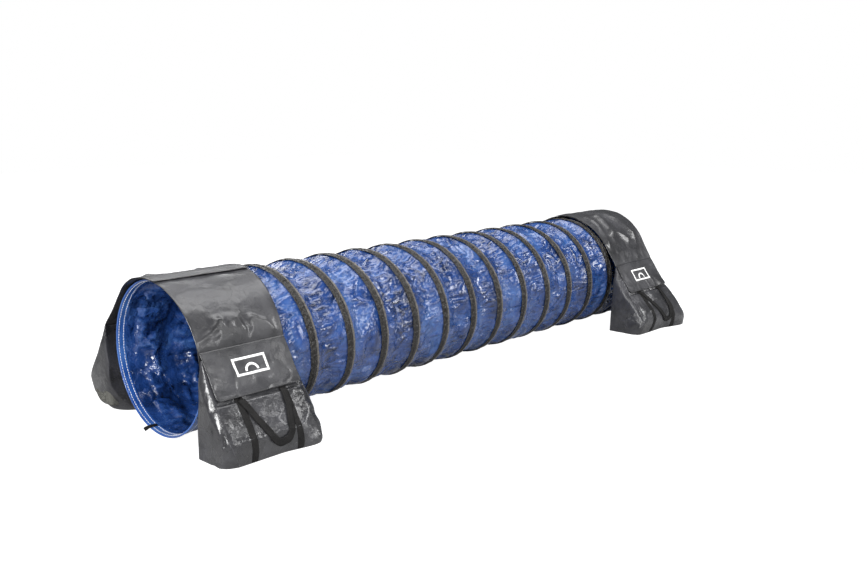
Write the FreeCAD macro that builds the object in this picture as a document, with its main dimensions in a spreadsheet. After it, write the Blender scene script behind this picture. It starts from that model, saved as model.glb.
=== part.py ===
"""Agility tunnel: a collapsible vinyl tube on a helical spring wire, held down at each end
by a saddle with two sandbag pouches. X runs along the tunnel, +Z is up, and the origin is
on the floor under the middle of the tunnel. Lengths are in millimetres, angles in degrees.

Every saddle has a snug half, whose pouch stands against the tube, and a wide half, whose
cover runs straight out to its pouch like a tent. The snug half is in front (-Y) on the near
saddle and at the back (+Y) on the far one. The wide half is slack, so that it stands well
out, on the near saddle, and loose, so that it stands a little out, on the far one.
"""

import FreeCAD, Part
import math
import os

import Sketcher

Vector = FreeCAD.Vector
Rotation = FreeCAD.Rotation
Placement = FreeCAD.Placement

DRIVING_DIMENSIONS = {
    "tunnel_length": 3020,
    "fabric_radius": 300,
    "fabric_thick": 0.5,
    "axis_height": 306,
    "rib_pitch": 193.5,
    "rib_start": 62,
    "rib_first_top": 86,
    "wire_diameter": 3,
    "tape_width": 42,
    "tape_thick": 0.8,
    "tape_bulge_width": 8,
    "wire_side_clearance": 0.2,
    "tape_clearance": 0.3,
    "hem_depth": 38,
    "hem_thick": 0.9,
    "hem_clearance": 0.3,
    "hem_bead_radius": 3.6,
    "hem_bead_overlap": 2,
    "hoop_wire_radius": 2.2,
    "hoop_hole_radius": 2.35,
    "stitch_radius": 0.5,
    "stitch_outer_row": 9,
    "stitch_inner_row": 29,
    "stitch_clearance": 0.1,
    "strap_width": 16,
    "strap_thick": 1.5,
    "strap_sewn_length": 28,
    "strap_loose_length": 28,
    "strap_angle": 15,
    "strap_droop": 22,
    "strap_clearance": 0.3,
    "strap_sewn_start": 1.6,
    "strap_loose_start": -0.6,
    "saddle_width": 420,
    "saddle_overhang": 30,
    "cover_radius": 309.5,
    "cover_thick": 1.5,
    "cover_fastener_thick": 1.1,
    "cover_fastener_width": 50,
    "cover_fastener_inset": 30,
    "cover_underlap_angle": 30,
    "cover_overlap_angle": 12,
    "snug_cover_end_angle": 90,
    "slack_tangent_angle": 42.3,
    "slack_skirt_length": 228,
    "loose_tangent_angle": 56.9,
    "loose_skirt_length": 127,
    "skirt_overlap": 0.5,
    "pouch_width": 424,
    "pouch_cloth": 1.5,
    "pouch_fillet": 24,
    "pouch_front_depth": 160,
    "sandbag_clearance": 2.0,
    "flap_width": 372,
    "flap_thick": 1.5,
    "flap_corner_radius": 12,
    "flap_gap": 2.2,
    "mouth_width": 300,
    "mouth_depth": 34,
    "mouth_down_share": 0.2,
    "fastener_thick": 0.9,
    "fastener_length": 320,
    "fastener_width": 40,
    "fastener_down_share": 0.5,
    "band_width": 27,
    "band_thick": 1.2,
    "band_spacing": 200,
    "band_overlap": 20,
    "band_set_back": 60,
    "band_reach": 200,
    "handle_thick": 2.2,
    "handle_width": 26,
    "handle_drop": 156,
    "handle_standoff": 0.7,
    "handle_below_flap": 4,
    "handle_low_left": 8,
    "handle_low_right": -50,
    "handle_inner_left_rise": 31.2,
    "handle_inner_right_rise": 41.6,
    "handle_right_rise": 15.6,
    "emblem_thick": 0.3,
    "emblem_width": 146,
    "emblem_height": 70,
    "emblem_line": 9,
    "emblem_arch_share": 0.42,
    "emblem_arch_foot": 14.4,
    "emblem_down": 48,
    # Section of each pouch, with the distance out from the tunnel's centre plane (out) and
    # the height (up) of the flap's hinge, the inner face, the belly and the front foot.
    "snug_hinge_out": 304.5,
    "snug_hinge_up": 386,
    "snug_flap_angle": 59.3,
    "snug_flap_length": 190,
    "snug_inner_foot_out": 312,
    "snug_inner_top_out": 312,
    "snug_shoulder_out": 452,
    "snug_shoulder_up": 142,
    "snug_belly_out": 488,
    "snug_belly_up": 52,
    "snug_front_foot_out": 466,
    "slack_hinge_out": 384.5,
    "slack_hinge_up": 383,
    "slack_flap_angle": 57.9,
    "slack_flap_length": 180,
    "slack_inner_foot_out": 352,
    "slack_inner_top_out": 384,
    "slack_shoulder_out": 516,
    "slack_shoulder_up": 168,
    "slack_belly_out": 541,
    "slack_belly_up": 84,
    "slack_front_foot_out": 486,
    "loose_hinge_out": 335,
    "loose_hinge_up": 368,
    "loose_flap_angle": 55,
    "loose_flap_length": 176,
    "loose_inner_foot_out": 330,
    "loose_inner_top_out": 335,
    "loose_shoulder_out": 494,
    "loose_shoulder_up": 160,
    "loose_belly_out": 541,
    "loose_belly_up": 84,
    "loose_front_foot_out": 486,
}

FITS = {
    ("near", "front"): "snug",
    ("near", "back"): "slack",
    ("far", "front"): "loose",
    ("far", "back"): "snug",
}
ZERO = "0 * Sheet.tunnel_length"

doc = FreeCAD.newDocument("agility_tunnel")
sheet = doc.addObject("Spreadsheet::Sheet", "Sheet")
for row, (alias, value) in enumerate(DRIVING_DIMENSIONS.items(), start=1):
    sheet.set(f"A{row}", alias)
    sheet.set(f"B{row}", str(value))
    sheet.setAlias(f"B{row}", alias)
doc.recompute()

nodes = []


def size(alias):
    """The value of one driving dimension, for code that works out a place or a curve."""
    return float(sheet.get(alias))


def cell(alias):
    return f"Sheet.{alias}"


def node(item, label, placement=None):
    """Name an object as a finished piece, which is written to its own STEP file."""
    item.Label = label
    if placement is not None:
        item.Placement = placement
    nodes.append(item)
    return item


def primitive(kind, name, placement=None, **expressions):
    """A Part primitive whose sizes are bound to the sheet."""
    item = doc.addObject(kind, name)
    for prop, expression in expressions.items():
        item.setExpression(prop, expression)
    if placement is not None:
        item.Placement = placement
    return item


def boolean(kind, name, base, tool):
    item = doc.addObject(kind, name)
    item.Base = base
    item.Tool = tool
    return item


def compound_of_solids(name, parts):
    item = doc.addObject("Part::Compound", name)
    item.Links = parts
    return item


def origin_feature(body, role):
    """One of a body's own origin planes or axes."""
    return next(f for f in body.Origin.OriginFeatures if f.Role == role)


def outline_sketch(body, role, corners):
    """A closed outline on an origin plane. Each corner is a pair of sheet expressions."""
    sketch = body.newObject("Sketcher::SketchObject", body.Name + "_outline")
    sketch.AttachmentSupport = [(origin_feature(body, role), "")]
    sketch.MapMode = "FlatFace"
    count = len(corners)
    spots = [Vector(value_of(across), value_of(up), 0) for across, up in corners]
    for i in range(count):
        sketch.addGeometry(Part.LineSegment(spots[i], spots[(i + 1) % count]))
    for i in range(count):
        sketch.addConstraint(Sketcher.Constraint("Coincident", i, 2, (i + 1) % count, 1))
    for i, (across, up) in enumerate(corners):
        for kind, value, expression in (
            ("DistanceX", spots[i].x, across),
            ("DistanceY", spots[i].y, up),
        ):
            index = sketch.addConstraint(Sketcher.Constraint(kind, i, 1, value))
            sketch.setExpression(f"Constraints[{index}]", expression)
    return sketch


def value_of(expression):
    """The number that a sheet expression stands for, to place a sketch's first geometry."""
    return float(sheet.evalExpression(expression))


def padded_body(name, role, corners, width):
    """An outline padded evenly to both sides of its plane."""
    body = doc.addObject("PartDesign::Body", name)
    sketch = outline_sketch(body, role, corners)
    pad = body.newObject("PartDesign::Pad", name + "_pad")
    pad.Profile = sketch
    pad.SideType = "Symmetric"
    pad.setExpression("Length", width)
    sketch.Visibility = False
    return body


def round_edges(body, name, picked, radius):
    """Fillet the edges of a body's last feature that picked(edge) accepts."""
    doc.recompute()
    last = body.Tip
    edges = [f"Edge{i}" for i, edge in enumerate(last.Shape.Edges, start=1) if picked(edge)]
    fillet = body.newObject("PartDesign::Fillet", name)
    fillet.Base = (last, edges)
    fillet.setExpression("Radius", radius)
    return fillet


# ---------------------------------------------------------------- tunnel


def tube_fabric():
    """The vinyl tube, which runs into both hems and stops short of the hoops."""
    body = doc.addObject("PartDesign::Body", "TubeFabric")
    sketch = body.newObject("Sketcher::SketchObject", "TubeFabric_rings")
    sketch.AttachmentSupport = [(origin_feature(body, "YZ_Plane"), "")]
    sketch.MapMode = "FlatFace"
    for radius in (size("fabric_radius"), size("fabric_radius") - size("fabric_thick")):
        sketch.addGeometry(Part.Circle(Vector(), Vector(0, 0, 1), radius))
    for i, expression in enumerate(
        (cell("fabric_radius"), "Sheet.fabric_radius - Sheet.fabric_thick")
    ):
        sketch.addConstraint(Sketcher.Constraint("Coincident", i, 3, -1, 1))
        index = sketch.addConstraint(Sketcher.Constraint("Radius", i, value_of(expression)))
        sketch.setExpression(f"Constraints[{index}]", expression)
    pad = body.newObject("PartDesign::Pad", "TubeFabric_pad")
    pad.Profile = sketch
    pad.SideType = "Symmetric"
    pad.setExpression("Length", "Sheet.tunnel_length - 4 * Sheet.hem_bead_radius")
    node(body, "tunnel_fabric", Placement(Vector(0, 0, size("axis_height")), Rotation()))


def hem_profile():
    """Half section of a hem: two bands with the tube's edge between them, joined at the
    mouth. Corners run (distance in from the mouth, radius)."""
    outer_low = "Sheet.fabric_radius + Sheet.hem_clearance"
    outer_high = "Sheet.fabric_radius + Sheet.hem_clearance + Sheet.hem_thick"
    inner_high = "Sheet.fabric_radius - Sheet.fabric_thick - Sheet.hem_clearance"
    inner_low = inner_high + " - Sheet.hem_thick"
    closed = "1.5 * Sheet.hem_bead_radius"
    return [
        (cell("hem_bead_overlap"), inner_low),
        (cell("hem_depth"), inner_low),
        (cell("hem_depth"), inner_high),
        (closed, inner_high),
        (closed, outer_low),
        (cell("hem_depth"), outer_low),
        (cell("hem_depth"), outer_high),
        (cell("hem_bead_overlap"), outer_high),
    ]


def hem(end, turn):
    """A hem folded over its hoop, with a round bead at the mouth."""
    body = doc.addObject("PartDesign::Body", f"{end}Hem")
    sketch = outline_sketch(body, "XZ_Plane", hem_profile())
    revolution = body.newObject("PartDesign::Revolution", f"{end}Hem_revolution")
    revolution.Profile = sketch
    revolution.ReferenceAxis = (origin_feature(body, "X_Axis"), [""])
    revolution.Angle = 360
    bead = primitive(
        "Part::Torus",
        f"{end}Hem_bead",
        Placement(Vector(bead_depth(), 0, 0), Rotation(Vector(0, 1, 0), 90)),
        Radius1="Sheet.axis_height - Sheet.hem_bead_radius",
        Radius2=cell("hem_bead_radius"),
    )
    channel = primitive(
        "Part::Torus",
        f"{end}Hem_channel",
        Placement(Vector(bead_depth(), 0, 0), Rotation(Vector(0, 1, 0), 90)),
        Radius1="Sheet.axis_height - Sheet.hem_bead_radius",
        Radius2=cell("hoop_hole_radius"),
    )
    whole = boolean("Part::Fuse", f"{end}Hem_whole", body, bead)
    hollow = boolean("Part::Cut", f"{end}Hem_hollow", whole, channel)
    node(hollow, f"{end}_hem", mouth(turn))
    return hollow


def bead_depth():
    """How far in from the mouth the hoop and its bead lie."""
    return size("hem_bead_radius")


def mouth(turn):
    """The mouth's own frame: +X points into the tunnel. turn is 0 near, 180 far."""
    return Placement(
        Vector(-math.cos(math.radians(turn)) * size("tunnel_length") / 2, 0, size("axis_height")),
        Rotation(Vector(0, 0, 1), turn),
    )


def hoop(end, turn):
    """The steel hoop that holds the mouth round."""
    ring = primitive(
        "Part::Torus",
        f"{end}Hoop",
        None,
        Radius1="Sheet.axis_height - Sheet.hem_bead_radius",
        Radius2=cell("hoop_wire_radius"),
    )
    into = Placement(Vector(bead_depth(), 0, 0), Rotation(Vector(0, 1, 0), 90))
    node(ring, f"{end}_hoop", mouth(turn).multiply(into))


def hem_stitching(end, turn):
    """Two rows of thread round the inside of the hem."""
    rows = []
    for row in ("stitch_outer_row", "stitch_inner_row"):
        ring = primitive(
            "Part::Torus",
            f"{end}_{row}",
            Placement(Vector(size(row), 0, 0), Rotation(Vector(0, 1, 0), 90)),
            Radius1="Sheet.fabric_radius - Sheet.fabric_thick - Sheet.hem_clearance"
            " - Sheet.hem_thick - Sheet.stitch_radius - Sheet.stitch_clearance",
            Radius2=cell("stitch_radius"),
        )
        rows.append(ring)
    node(compound_of_solids(f"{end}Stitching", rows), f"{end}_hem_stitching", mouth(turn))


def rib_angle(turns):
    """The helix's angle from the top, where it crosses the top at rib_first_top."""
    start = (size("rib_start") - size("rib_first_top")) / size("rib_pitch")
    return 2 * math.pi * (start + turns)


def rib_turns():
    """The helix starts and ends the same distance inside the two mouths."""
    return (size("tunnel_length") - 2 * size("rib_start")) / size("rib_pitch")


def rib_point(turns, radius, shift=0.0):
    """A point on the helix after so many turns, shifted along the tunnel. The helix runs
    from the top towards the front (-Y) as it goes along +X."""
    angle = rib_angle(turns)
    along = size("rib_start") - size("tunnel_length") / 2 + size("rib_pitch") * turns + shift
    return Vector(
        along,
        -radius * math.sin(angle),
        size("axis_height") + radius * math.cos(angle),
    )


def rib_curve(span, radius, shift):
    """One span of a helix, as a smooth curve through evenly spaced points."""
    first, last = span
    steps = max(3, math.ceil(16 * (last - first)))
    turns = [first + (last - first) * i / steps for i in range(steps + 1)]
    tangents = []
    for t in turns:
        angle = rib_angle(t)
        across = -2 * math.pi * radius * math.cos(angle)
        upward = -2 * math.pi * radius * math.sin(angle)
        tangents.append(Vector(size("rib_pitch"), across, upward))
    curve = Part.BSplineCurve()
    curve.interpolate(
        Points=[rib_point(t, radius, shift) for t in turns],
        Parameters=turns,
        Tangents=tangents,
        TangentFlags=[True] * len(turns),
        Scale=False,
    )
    return curve.toShape()


def helical_solid(section):
    """A closed solid swept along the helix. section lists (radius, shift) corners."""
    total = rib_turns()
    spans = [(i, min(i + 1, total)) for i in range(math.ceil(total))]
    faces = []
    for span in spans:
        edges = [rib_curve(span, radius, shift) for radius, shift in section]
        for i, edge in enumerate(edges):
            faces.append(Part.makeRuledSurface(edge, edges[(i + 1) % len(edges)]))
    for turns in (0.0, total):
        corners = [rib_point(turns, radius, shift) for radius, shift in section]
        faces.append(Part.makeFilledFace(Part.makePolygon(corners + corners[:1]).Edges))
    shell = Part.makeShell(faces)
    shell.sewShape()
    solid = Part.makeSolid(shell)
    if solid.Volume < 0:
        solid.reverse()
    return solid


def shape_piece(name, label, shape):
    """A piece that no parametric feature makes, with its shape from Part's own functions."""
    item = doc.addObject("Part::Feature", name)
    item.Shape = shape
    return node(item, label)


def spring_wire():
    """The wire that holds the tube open, octagonal in section so that it stays light."""
    sides = 8
    wire_radius = size("wire_diameter") / 2
    middle = size("fabric_radius") + wire_radius + size("wire_side_clearance")
    section = [
        (
            middle + wire_radius * math.cos(2 * math.pi * i / sides),
            wire_radius * math.sin(2 * math.pi * i / sides),
        )
        for i in range(sides)
    ]
    shape_piece("SpringWire", "spring_wire", helical_solid(section))


def rib_tape():
    """The tape sewn over the wire: flat at both edges, raised over the wire."""
    thick = size("tape_thick")
    half = size("tape_width") / 2
    bulge = size("tape_bulge_width") / 2
    low = size("fabric_radius") + size("tape_clearance")
    high = low + size("wire_diameter") + size("wire_side_clearance")
    section = [
        (low, -half),
        (low, -bulge),
        (high, -bulge + thick),
        (high, bulge - thick),
        (low, bulge),
        (low, half),
        (low + thick, half),
        (low + thick, bulge + thick / 2),
        (high + thick, bulge - thick / 2),
        (high + thick, -bulge + thick / 2),
        (low + thick, -bulge - thick / 2),
        (low + thick, -half),
    ]
    shape_piece("RibTape", "rib_tape", helical_solid(section))


def strap_frame():
    """Where the strap lies on the hem: X into the tunnel, Z towards the tunnel's axis."""
    inside = size("fabric_radius") - size("fabric_thick") - size("hem_clearance")
    reach = inside - size("hem_thick") - size("stitch_clearance") - size("strap_clearance")
    around = Rotation(Vector(1, 0, 0), size("strap_angle"))
    out = around.multVec(Vector(0, 0, -reach))
    place = mouth(0)
    return Placement(place.Base + out, around)


def closing_strap():
    """The webbing tab, split at its stitching line: the sewn end stays on the hem, and the
    loose end bends about the mouth's edge."""
    frame = strap_frame()
    lift = 2 * size("stitch_radius") + size("strap_clearance")
    sewn = primitive(
        "Part::Box",
        "StrapSewn",
        None,
        Length=cell("strap_sewn_length"),
        Width=cell("strap_width"),
        Height=cell("strap_thick"),
    )
    half = size("strap_width") / 2
    sewn_start = Placement(Vector(size("strap_sewn_start"), -half, lift), Rotation())
    node(sewn, "strap_sewn_end", frame.multiply(sewn_start))
    loose = primitive(
        "Part::Box",
        "StrapLoose",
        None,
        Length=cell("strap_loose_length"),
        Width=cell("strap_width"),
        Height=cell("strap_thick"),
    )
    droop = Rotation(Vector(0, 1, 0), -size("strap_droop"))
    start = Placement(Vector(size("strap_loose_start"), -half, lift), droop)
    back = Placement(Vector(-size("strap_loose_length"), 0, 0), Rotation())
    node(loose, "closing_strap", frame.multiply(start).multiply(back))


# ---------------------------------------------------------------- saddles


def side_frame(end, face):
    """The frame of one side of one saddle: +Y points outward and X lies along the tunnel,
    with the origin on the floor under the middle of the saddle."""
    middle = size("tunnel_length") / 2 + size("saddle_overhang") - size("saddle_width") / 2
    sign = -1 if end == "near" else 1
    turn = 0 if face == "back" else 180
    return Placement(Vector(sign * middle, 0, 0), Rotation(Vector(0, 0, 1), turn))


def cover_arc(name, radius, thick, width, start_angle, span):
    """A curved band over the tube. Angles run from the top towards the side's own +Y."""
    outer = primitive(
        "Part::Cylinder", name + "_outer", None, Radius=f"{radius} + {thick}", Height=width
    )
    inner = primitive("Part::Cylinder", name + "_inner", None, Radius=radius, Height=width)
    outer.setExpression("Angle", span)
    inner.setExpression("Angle", span)
    band = boolean("Part::Cut", name, outer, inner)
    lie = Rotation(Vector(0, 1, 0), -90)
    begin = Rotation(Vector(-1, 0, 0), value_of(start_angle))
    half = value_of(width) / 2
    band.Placement = Placement(Vector(half, 0, size("axis_height")), begin.multiply(lie))
    return band


def snug_cover(name):
    return cover_arc(
        name,
        cell("cover_radius"),
        cell("cover_thick"),
        cell("saddle_width"),
        "-Sheet.cover_underlap_angle",
        "Sheet.cover_underlap_angle + Sheet.snug_cover_end_angle",
    )


def wide_radius():
    """The wide half lies on the snug half and on the fastener strips between them."""
    return "Sheet.cover_radius + Sheet.cover_thick + 2 * Sheet.cover_fastener_thick"


def wide_cover(name, fit):
    """The wide half: an arc over the top, then straight out to its pouch like a tent."""
    arc = cover_arc(
        name + "_arc",
        wide_radius(),
        cell("cover_thick"),
        cell("saddle_width"),
        "-Sheet.cover_overlap_angle",
        f"Sheet.cover_overlap_angle + Sheet.{fit}_tangent_angle",
    )
    reach = value_of(wide_radius())
    lean = Rotation(Vector(-1, 0, 0), size(fit + "_tangent_angle"))
    start = lean.multVec(Vector(0, -size("skirt_overlap"), reach))
    skirt = primitive(
        "Part::Box",
        name + "_skirt",
        Placement(
            Vector(0, 0, size("axis_height"))
            + start
            + Vector(-size("saddle_width") / 2, 0, 0),
            lean,
        ),
        Length=cell("saddle_width"),
        Width=cell(fit + "_skirt_length"),
        Height=cell("cover_thick"),
    )
    return boolean("Part::Fuse", name, arc, skirt)


def cover_fastener(name, layer):
    """A hook or loop strip between the two halves; layer 0 lies on the snug half."""
    middle = "(Sheet.cover_underlap_angle - Sheet.cover_overlap_angle) / 2"
    radius = f"Sheet.cover_radius + Sheet.cover_thick + {layer} * Sheet.cover_fastener_thick"
    span = "Sheet.cover_fastener_width / Sheet.cover_radius * 180 / pi"
    return cover_arc(
        name,
        radius,
        cell("cover_fastener_thick"),
        "Sheet.saddle_width - Sheet.cover_fastener_inset",
        f"-{middle} - ({span}) / 2",
        span,
    )


def flap_direction(fit):
    """Unit vectors down along the flap and out of it, in the side's own frame."""
    angle = math.radians(size(fit + "_flap_angle"))
    return Vector(0, math.cos(angle), -math.sin(angle)), Vector(0, math.sin(angle), math.cos(angle))


def flap_plane(fit, down, out):
    """A frame on the flap's underside: Y runs down the flap and Z out of it, with the
    origin so far down from the hinge and so far out from the underside."""
    hinge = Vector(0, size(fit + "_hinge_out"), size(fit + "_hinge_up"))
    along, normal = flap_direction(fit)
    spot = hinge + along * down + normal * out
    return Placement(spot, Rotation(Vector(1, 0, 0), -size(fit + "_flap_angle")))


def behind_flap(fit, down):
    """Expressions for the pouch's slope, a flap's gap behind the flap's underside."""
    slope = f"Sheet.{fit}_flap_angle * 1 deg"
    out = f"Sheet.{fit}_hinge_out + ({down}) * cos({slope}) - Sheet.flap_gap * sin({slope})"
    up = f"Sheet.{fit}_hinge_up - ({down}) * sin({slope}) - Sheet.flap_gap * cos({slope})"
    return out, up


def pouch_corners(fit):
    """The pouch's section, from its inner foot round over the top and down the front."""
    slope = f"Sheet.{fit}_flap_angle * 1 deg"
    start_down = (
        f"(Sheet.{fit}_inner_top_out - Sheet.{fit}_hinge_out + Sheet.flap_gap * sin({slope}))"
        f" / cos({slope})"
    )
    top = behind_flap(fit, start_down)
    edge = behind_flap(fit, f"Sheet.{fit}_flap_length")
    return [
        (f"Sheet.{fit}_inner_foot_out", ZERO),
        top,
        edge,
        (f"Sheet.{fit}_shoulder_out", f"Sheet.{fit}_shoulder_up"),
        (f"Sheet.{fit}_belly_out", f"Sheet.{fit}_belly_up"),
        (f"Sheet.{fit}_front_foot_out", ZERO),
    ]


def pouch_form(name, fit):
    """The pouch's outer form, with the belly and the lower front rounded."""
    body = padded_body(name, "YZ_Plane", pouch_corners(fit), cell("pouch_width"))
    doc.recompute()
    front = [
        (size(f"{fit}_shoulder_out"), size(f"{fit}_shoulder_up")),
        (size(f"{fit}_belly_out"), size(f"{fit}_belly_up")),
    ]

    def runs_along_front(edge):
        ends = [v.Point for v in edge.Vertexes]
        same = all(
            any(abs(p.y - out) < 0.01 and abs(p.z - up) < 0.01 for out, up in front)
            for p in ends
        )
        return same and abs(ends[0].x - ends[-1].x) > 1

    round_edges(body, name + "_round", runs_along_front, cell("pouch_fillet"))
    return body


def pouch_skin(name, form, thickness):
    """The form grown or shrunk evenly, to hollow a pouch or lay webbing on it."""
    skin = doc.addObject("Part::Offset", name)
    skin.Source = form
    skin.setExpression("Value", thickness)
    skin.Join = "Intersection"
    return skin


def pouch(name, fit):
    """A hollow cloth pouch whose mouth is a slot in the slope under the flap."""
    form = pouch_form(name + "_form", fit)
    inside = pouch_skin(name + "_inside", form, "-Sheet.pouch_cloth")
    hollow = boolean("Part::Cut", name + "_hollow", form, inside)
    down = size(f"{fit}_flap_length") * size("mouth_down_share")
    frame = flap_plane(fit, down, -size("flap_gap") - 3 * size("pouch_cloth"))
    slot = primitive(
        "Part::Box",
        name + "_slot",
        frame.multiply(Placement(Vector(-size("mouth_width") / 2, 0, 0), Rotation())),
        Length=cell("mouth_width"),
        Width=cell("mouth_depth"),
        Height="4 * Sheet.pouch_cloth",
    )
    return boolean("Part::Cut", name, hollow, slot)


def sandbag(name, fit):
    """The filled inner bag, which takes the pouch's own shape."""
    form = pouch_form(name + "_form", fit)
    return pouch_skin(name, form, "-Sheet.sandbag_clearance")


def webbing_bands(name, fit):
    """Two bands of webbing down the pouch's front, which end at its foot."""
    form = pouch_form(name + "_form", fit)
    grown = pouch_skin(name + "_grown", form, cell("band_thick"))
    layer = boolean("Part::Cut", name + "_layer", grown, form)
    bands = []
    top = size(f"{fit}_hinge_up") - math.sin(math.radians(size(f"{fit}_flap_angle"))) * (
        size(f"{fit}_flap_length") - size("band_overlap")
    )
    inner = size(f"{fit}_front_foot_out") - size("band_set_back")
    for i, sign in enumerate((-1, 1)):
        across = sign * size("band_spacing") / 2 - size("band_width") / 2
        region = primitive(
            "Part::Box",
            f"{name}_region{i}",
            Placement(Vector(across, inner, 0), Rotation()),
            Length=cell("band_width"),
            Width=cell("band_reach"),
        )
        region.Height = top
        bands.append(boolean("Part::Common", f"{name}_band{i}", layer, region))
    return boolean("Part::Fuse", name, bands[0], bands[1])


def flap(name, fit):
    """The flap, flat, with its free corners rounded and its hinge edge along y = 0."""
    body = padded_flap(name, fit)

    def at_free_corner(edge):
        ends = [v.Point for v in edge.Vertexes]
        upright = abs(ends[0].z - ends[-1].z) > 0.5
        return upright and ends[0].y > 1 and edge.Length < 5

    round_edges(body, name + "_corners", at_free_corner, cell("flap_corner_radius"))
    return body


def padded_flap(name, fit):
    half = "Sheet.flap_width / 2"
    corners = [
        (f"-{half}", ZERO),
        (half, ZERO),
        (half, f"Sheet.{fit}_flap_length"),
        (f"-{half}", f"Sheet.{fit}_flap_length"),
    ]
    body = doc.addObject("PartDesign::Body", name)
    sketch = outline_sketch(body, "XY_Plane", corners)
    pad = body.newObject("PartDesign::Pad", name + "_pad")
    pad.Profile = sketch
    pad.setExpression("Length", cell("flap_thick"))
    return body


def fastener_strip(name):
    return primitive(
        "Part::Box",
        name,
        None,
        Length=cell("fastener_length"),
        Width=cell("fastener_width"),
        Height=cell("fastener_thick"),
    )


def handle(name, fit):
    """The carry handle as it hangs: webbing sewn down at both ends, which lies over the
    front of the pouch. It is slack on one side, so that it makes a lopsided V."""
    form = pouch_form(name + "_form", fit)
    start = "Sheet.band_thick + Sheet.handle_standoff"
    under = pouch_skin(name + "_under", form, start)
    over = pouch_skin(name + "_over", form, start + " + Sheet.handle_thick")
    layer = boolean("Part::Cut", name + "_layer", over, under)
    top = handle_top(fit)
    low = f"{top} - Sheet.handle_drop"
    half, wide = "Sheet.band_spacing / 2", "Sheet.handle_width"
    left, right = "Sheet.handle_low_left", "Sheet.handle_low_right"
    corners = [
        (f"{half} + {wide} / 2", top),
        (f"{half} - {wide} / 2", top),
        (f"{left} - {wide} / 4", f"{low} + Sheet.handle_inner_left_rise"),
        (f"{right} + {wide} / 2", f"{low} + Sheet.handle_inner_right_rise"),
        (f"{wide} / 2 - {half}", top),
        (f"-{half} - {wide} / 2", top),
        (f"{right} - {wide} / 2", f"{low} + Sheet.handle_right_rise"),
        (left, low),
    ]
    outline = padded_body(name + "_outline", "XZ_Plane", corners, cell("pouch_front_depth"))
    middle = (size(f"{fit}_belly_out") + value_of(behind_flap(fit, flap_end(fit))[0])) / 2
    outline.Placement = Placement(Vector(0, middle, 0), Rotation())
    return boolean("Part::Common", name, layer, outline)


def flap_end(fit):
    return f"Sheet.{fit}_flap_length"


def handle_top(fit):
    """How high the handle's sewn ends are: just below the flap's free edge."""
    slope = f"sin(Sheet.{fit}_flap_angle * 1 deg)"
    return (
        f"Sheet.{fit}_hinge_up - Sheet.{fit}_flap_length * {slope}"
        " - Sheet.handle_below_flap"
    )


def emblem(name):
    """A generic printed mark: a plain frame round an arch."""
    line = size("emblem_line")
    wide, tall = size("emblem_width"), size("emblem_height")
    thick = Vector(0, 0, size("emblem_thick"))

    def plate(x0, y0, x1, y1):
        loop = [Vector(x0, y0, 0), Vector(x1, y0, 0), Vector(x1, y1, 0), Vector(x0, y1, 0)]
        return Part.Face(Part.makePolygon(loop + loop[:1])).extrude(thick)

    foot = tall - size("emblem_arch_foot")
    reach = tall * size("emblem_arch_share")

    def disc(radius):
        return Part.makeCylinder(radius, thick.z, Vector(0, foot, 0))

    frame = plate(-wide / 2, 0, wide / 2, tall).cut(
        plate(-wide / 2 + line, line, wide / 2 - line, tall - line)
    )
    arch = disc(reach).cut(disc(reach - line))
    arch = arch.common(plate(-wide / 2, line, wide / 2, foot))
    item = doc.addObject("Part::Feature", name)
    item.Shape = frame.fuse(arch)
    return item


def saddle_side(end, face):
    """Everything on one side of one saddle."""
    fit = FITS[end, face]
    frame = side_frame(end, face)
    name = f"{end}_{face}"
    key = f"{end.title()}{face.title()}_{fit}"
    cover = snug_cover(key + "_cover") if fit == "snug" else wide_cover(key + "_cover", fit)
    node(cover, f"{name}_cover", frame.multiply(cover.Placement))
    node(pouch(key + "_pouch", fit), f"{name}_pouch", frame)
    node(sandbag(key + "_sandbag", fit), f"{name}_sandbag", frame)
    node(webbing_bands(key + "_bands", fit), f"{name}_webbing_bands", frame)
    node(flap(key + "_flap", fit), f"{name}_flap", frame.multiply(flap_plane(fit, 0, 0)))
    strip_down = size(f"{fit}_flap_length") * size("fastener_down_share")
    aside = Placement(Vector(-size("fastener_length") / 2, 0, 0), Rotation())
    hook_out = -size("fastener_thick")
    loop_out = -size("flap_gap")
    for kind, out in (("flap_hook_strip", hook_out), ("pouch_loop_strip", loop_out)):
        place = frame.multiply(flap_plane(fit, strip_down, out)).multiply(aside)
        node(fastener_strip(f"{key}_{kind}"), f"{name}_{kind}", place)
    node(handle(key + "_handle", fit), f"{name}_handle", frame)
    if face == "front":
        place = frame.multiply(flap_plane(fit, size("emblem_down"), size("flap_thick")))
        node(emblem(key + "_emblem"), f"{name}_emblem", place)


def saddle(end):
    for face in ("front", "back"):
        saddle_side(end, face)
    snug_face = next(face for face in ("front", "back") if FITS[end, face] == "snug")
    frame = side_frame(end, snug_face)
    for layer, kind in enumerate(("loop", "hook")):
        strip = cover_fastener(f"{end.title()}_cover_{kind}", layer)
        node(strip, f"{end}_cover_{kind}_strip", frame.multiply(strip.Placement))


# ---------------------------------------------------------------- build and write


def build():
    tube_fabric()
    for end, turn in (("near", 0), ("far", 180)):
        hem(end, turn)
        hoop(end, turn)
        hem_stitching(end, turn)
    spring_wire()
    rib_tape()
    closing_strap()
    for end in ("near", "far"):
        saddle(end)


def check():
    """Stop before anything is written if an object failed or a shape is not sound."""
    doc.recompute()
    for item in doc.Objects:
        if "Invalid" in item.State or "Error" in item.State:
            raise RuntimeError(f"{item.Label} failed: {item.State}")
    for item in nodes:
        if item.Shape.isNull() or not item.Shape.isValid():
            raise RuntimeError(f"{item.Label} has no valid shape")
        if not item.Shape.Solids:
            raise RuntimeError(f"{item.Label} has no solid")


def write():
    os.makedirs("parts", exist_ok=True)
    for item in nodes:
        item.Shape.exportStep(f"parts/{item.Label}.step")
    print(len(nodes), "pieces written")


build()
check()
write()
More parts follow.
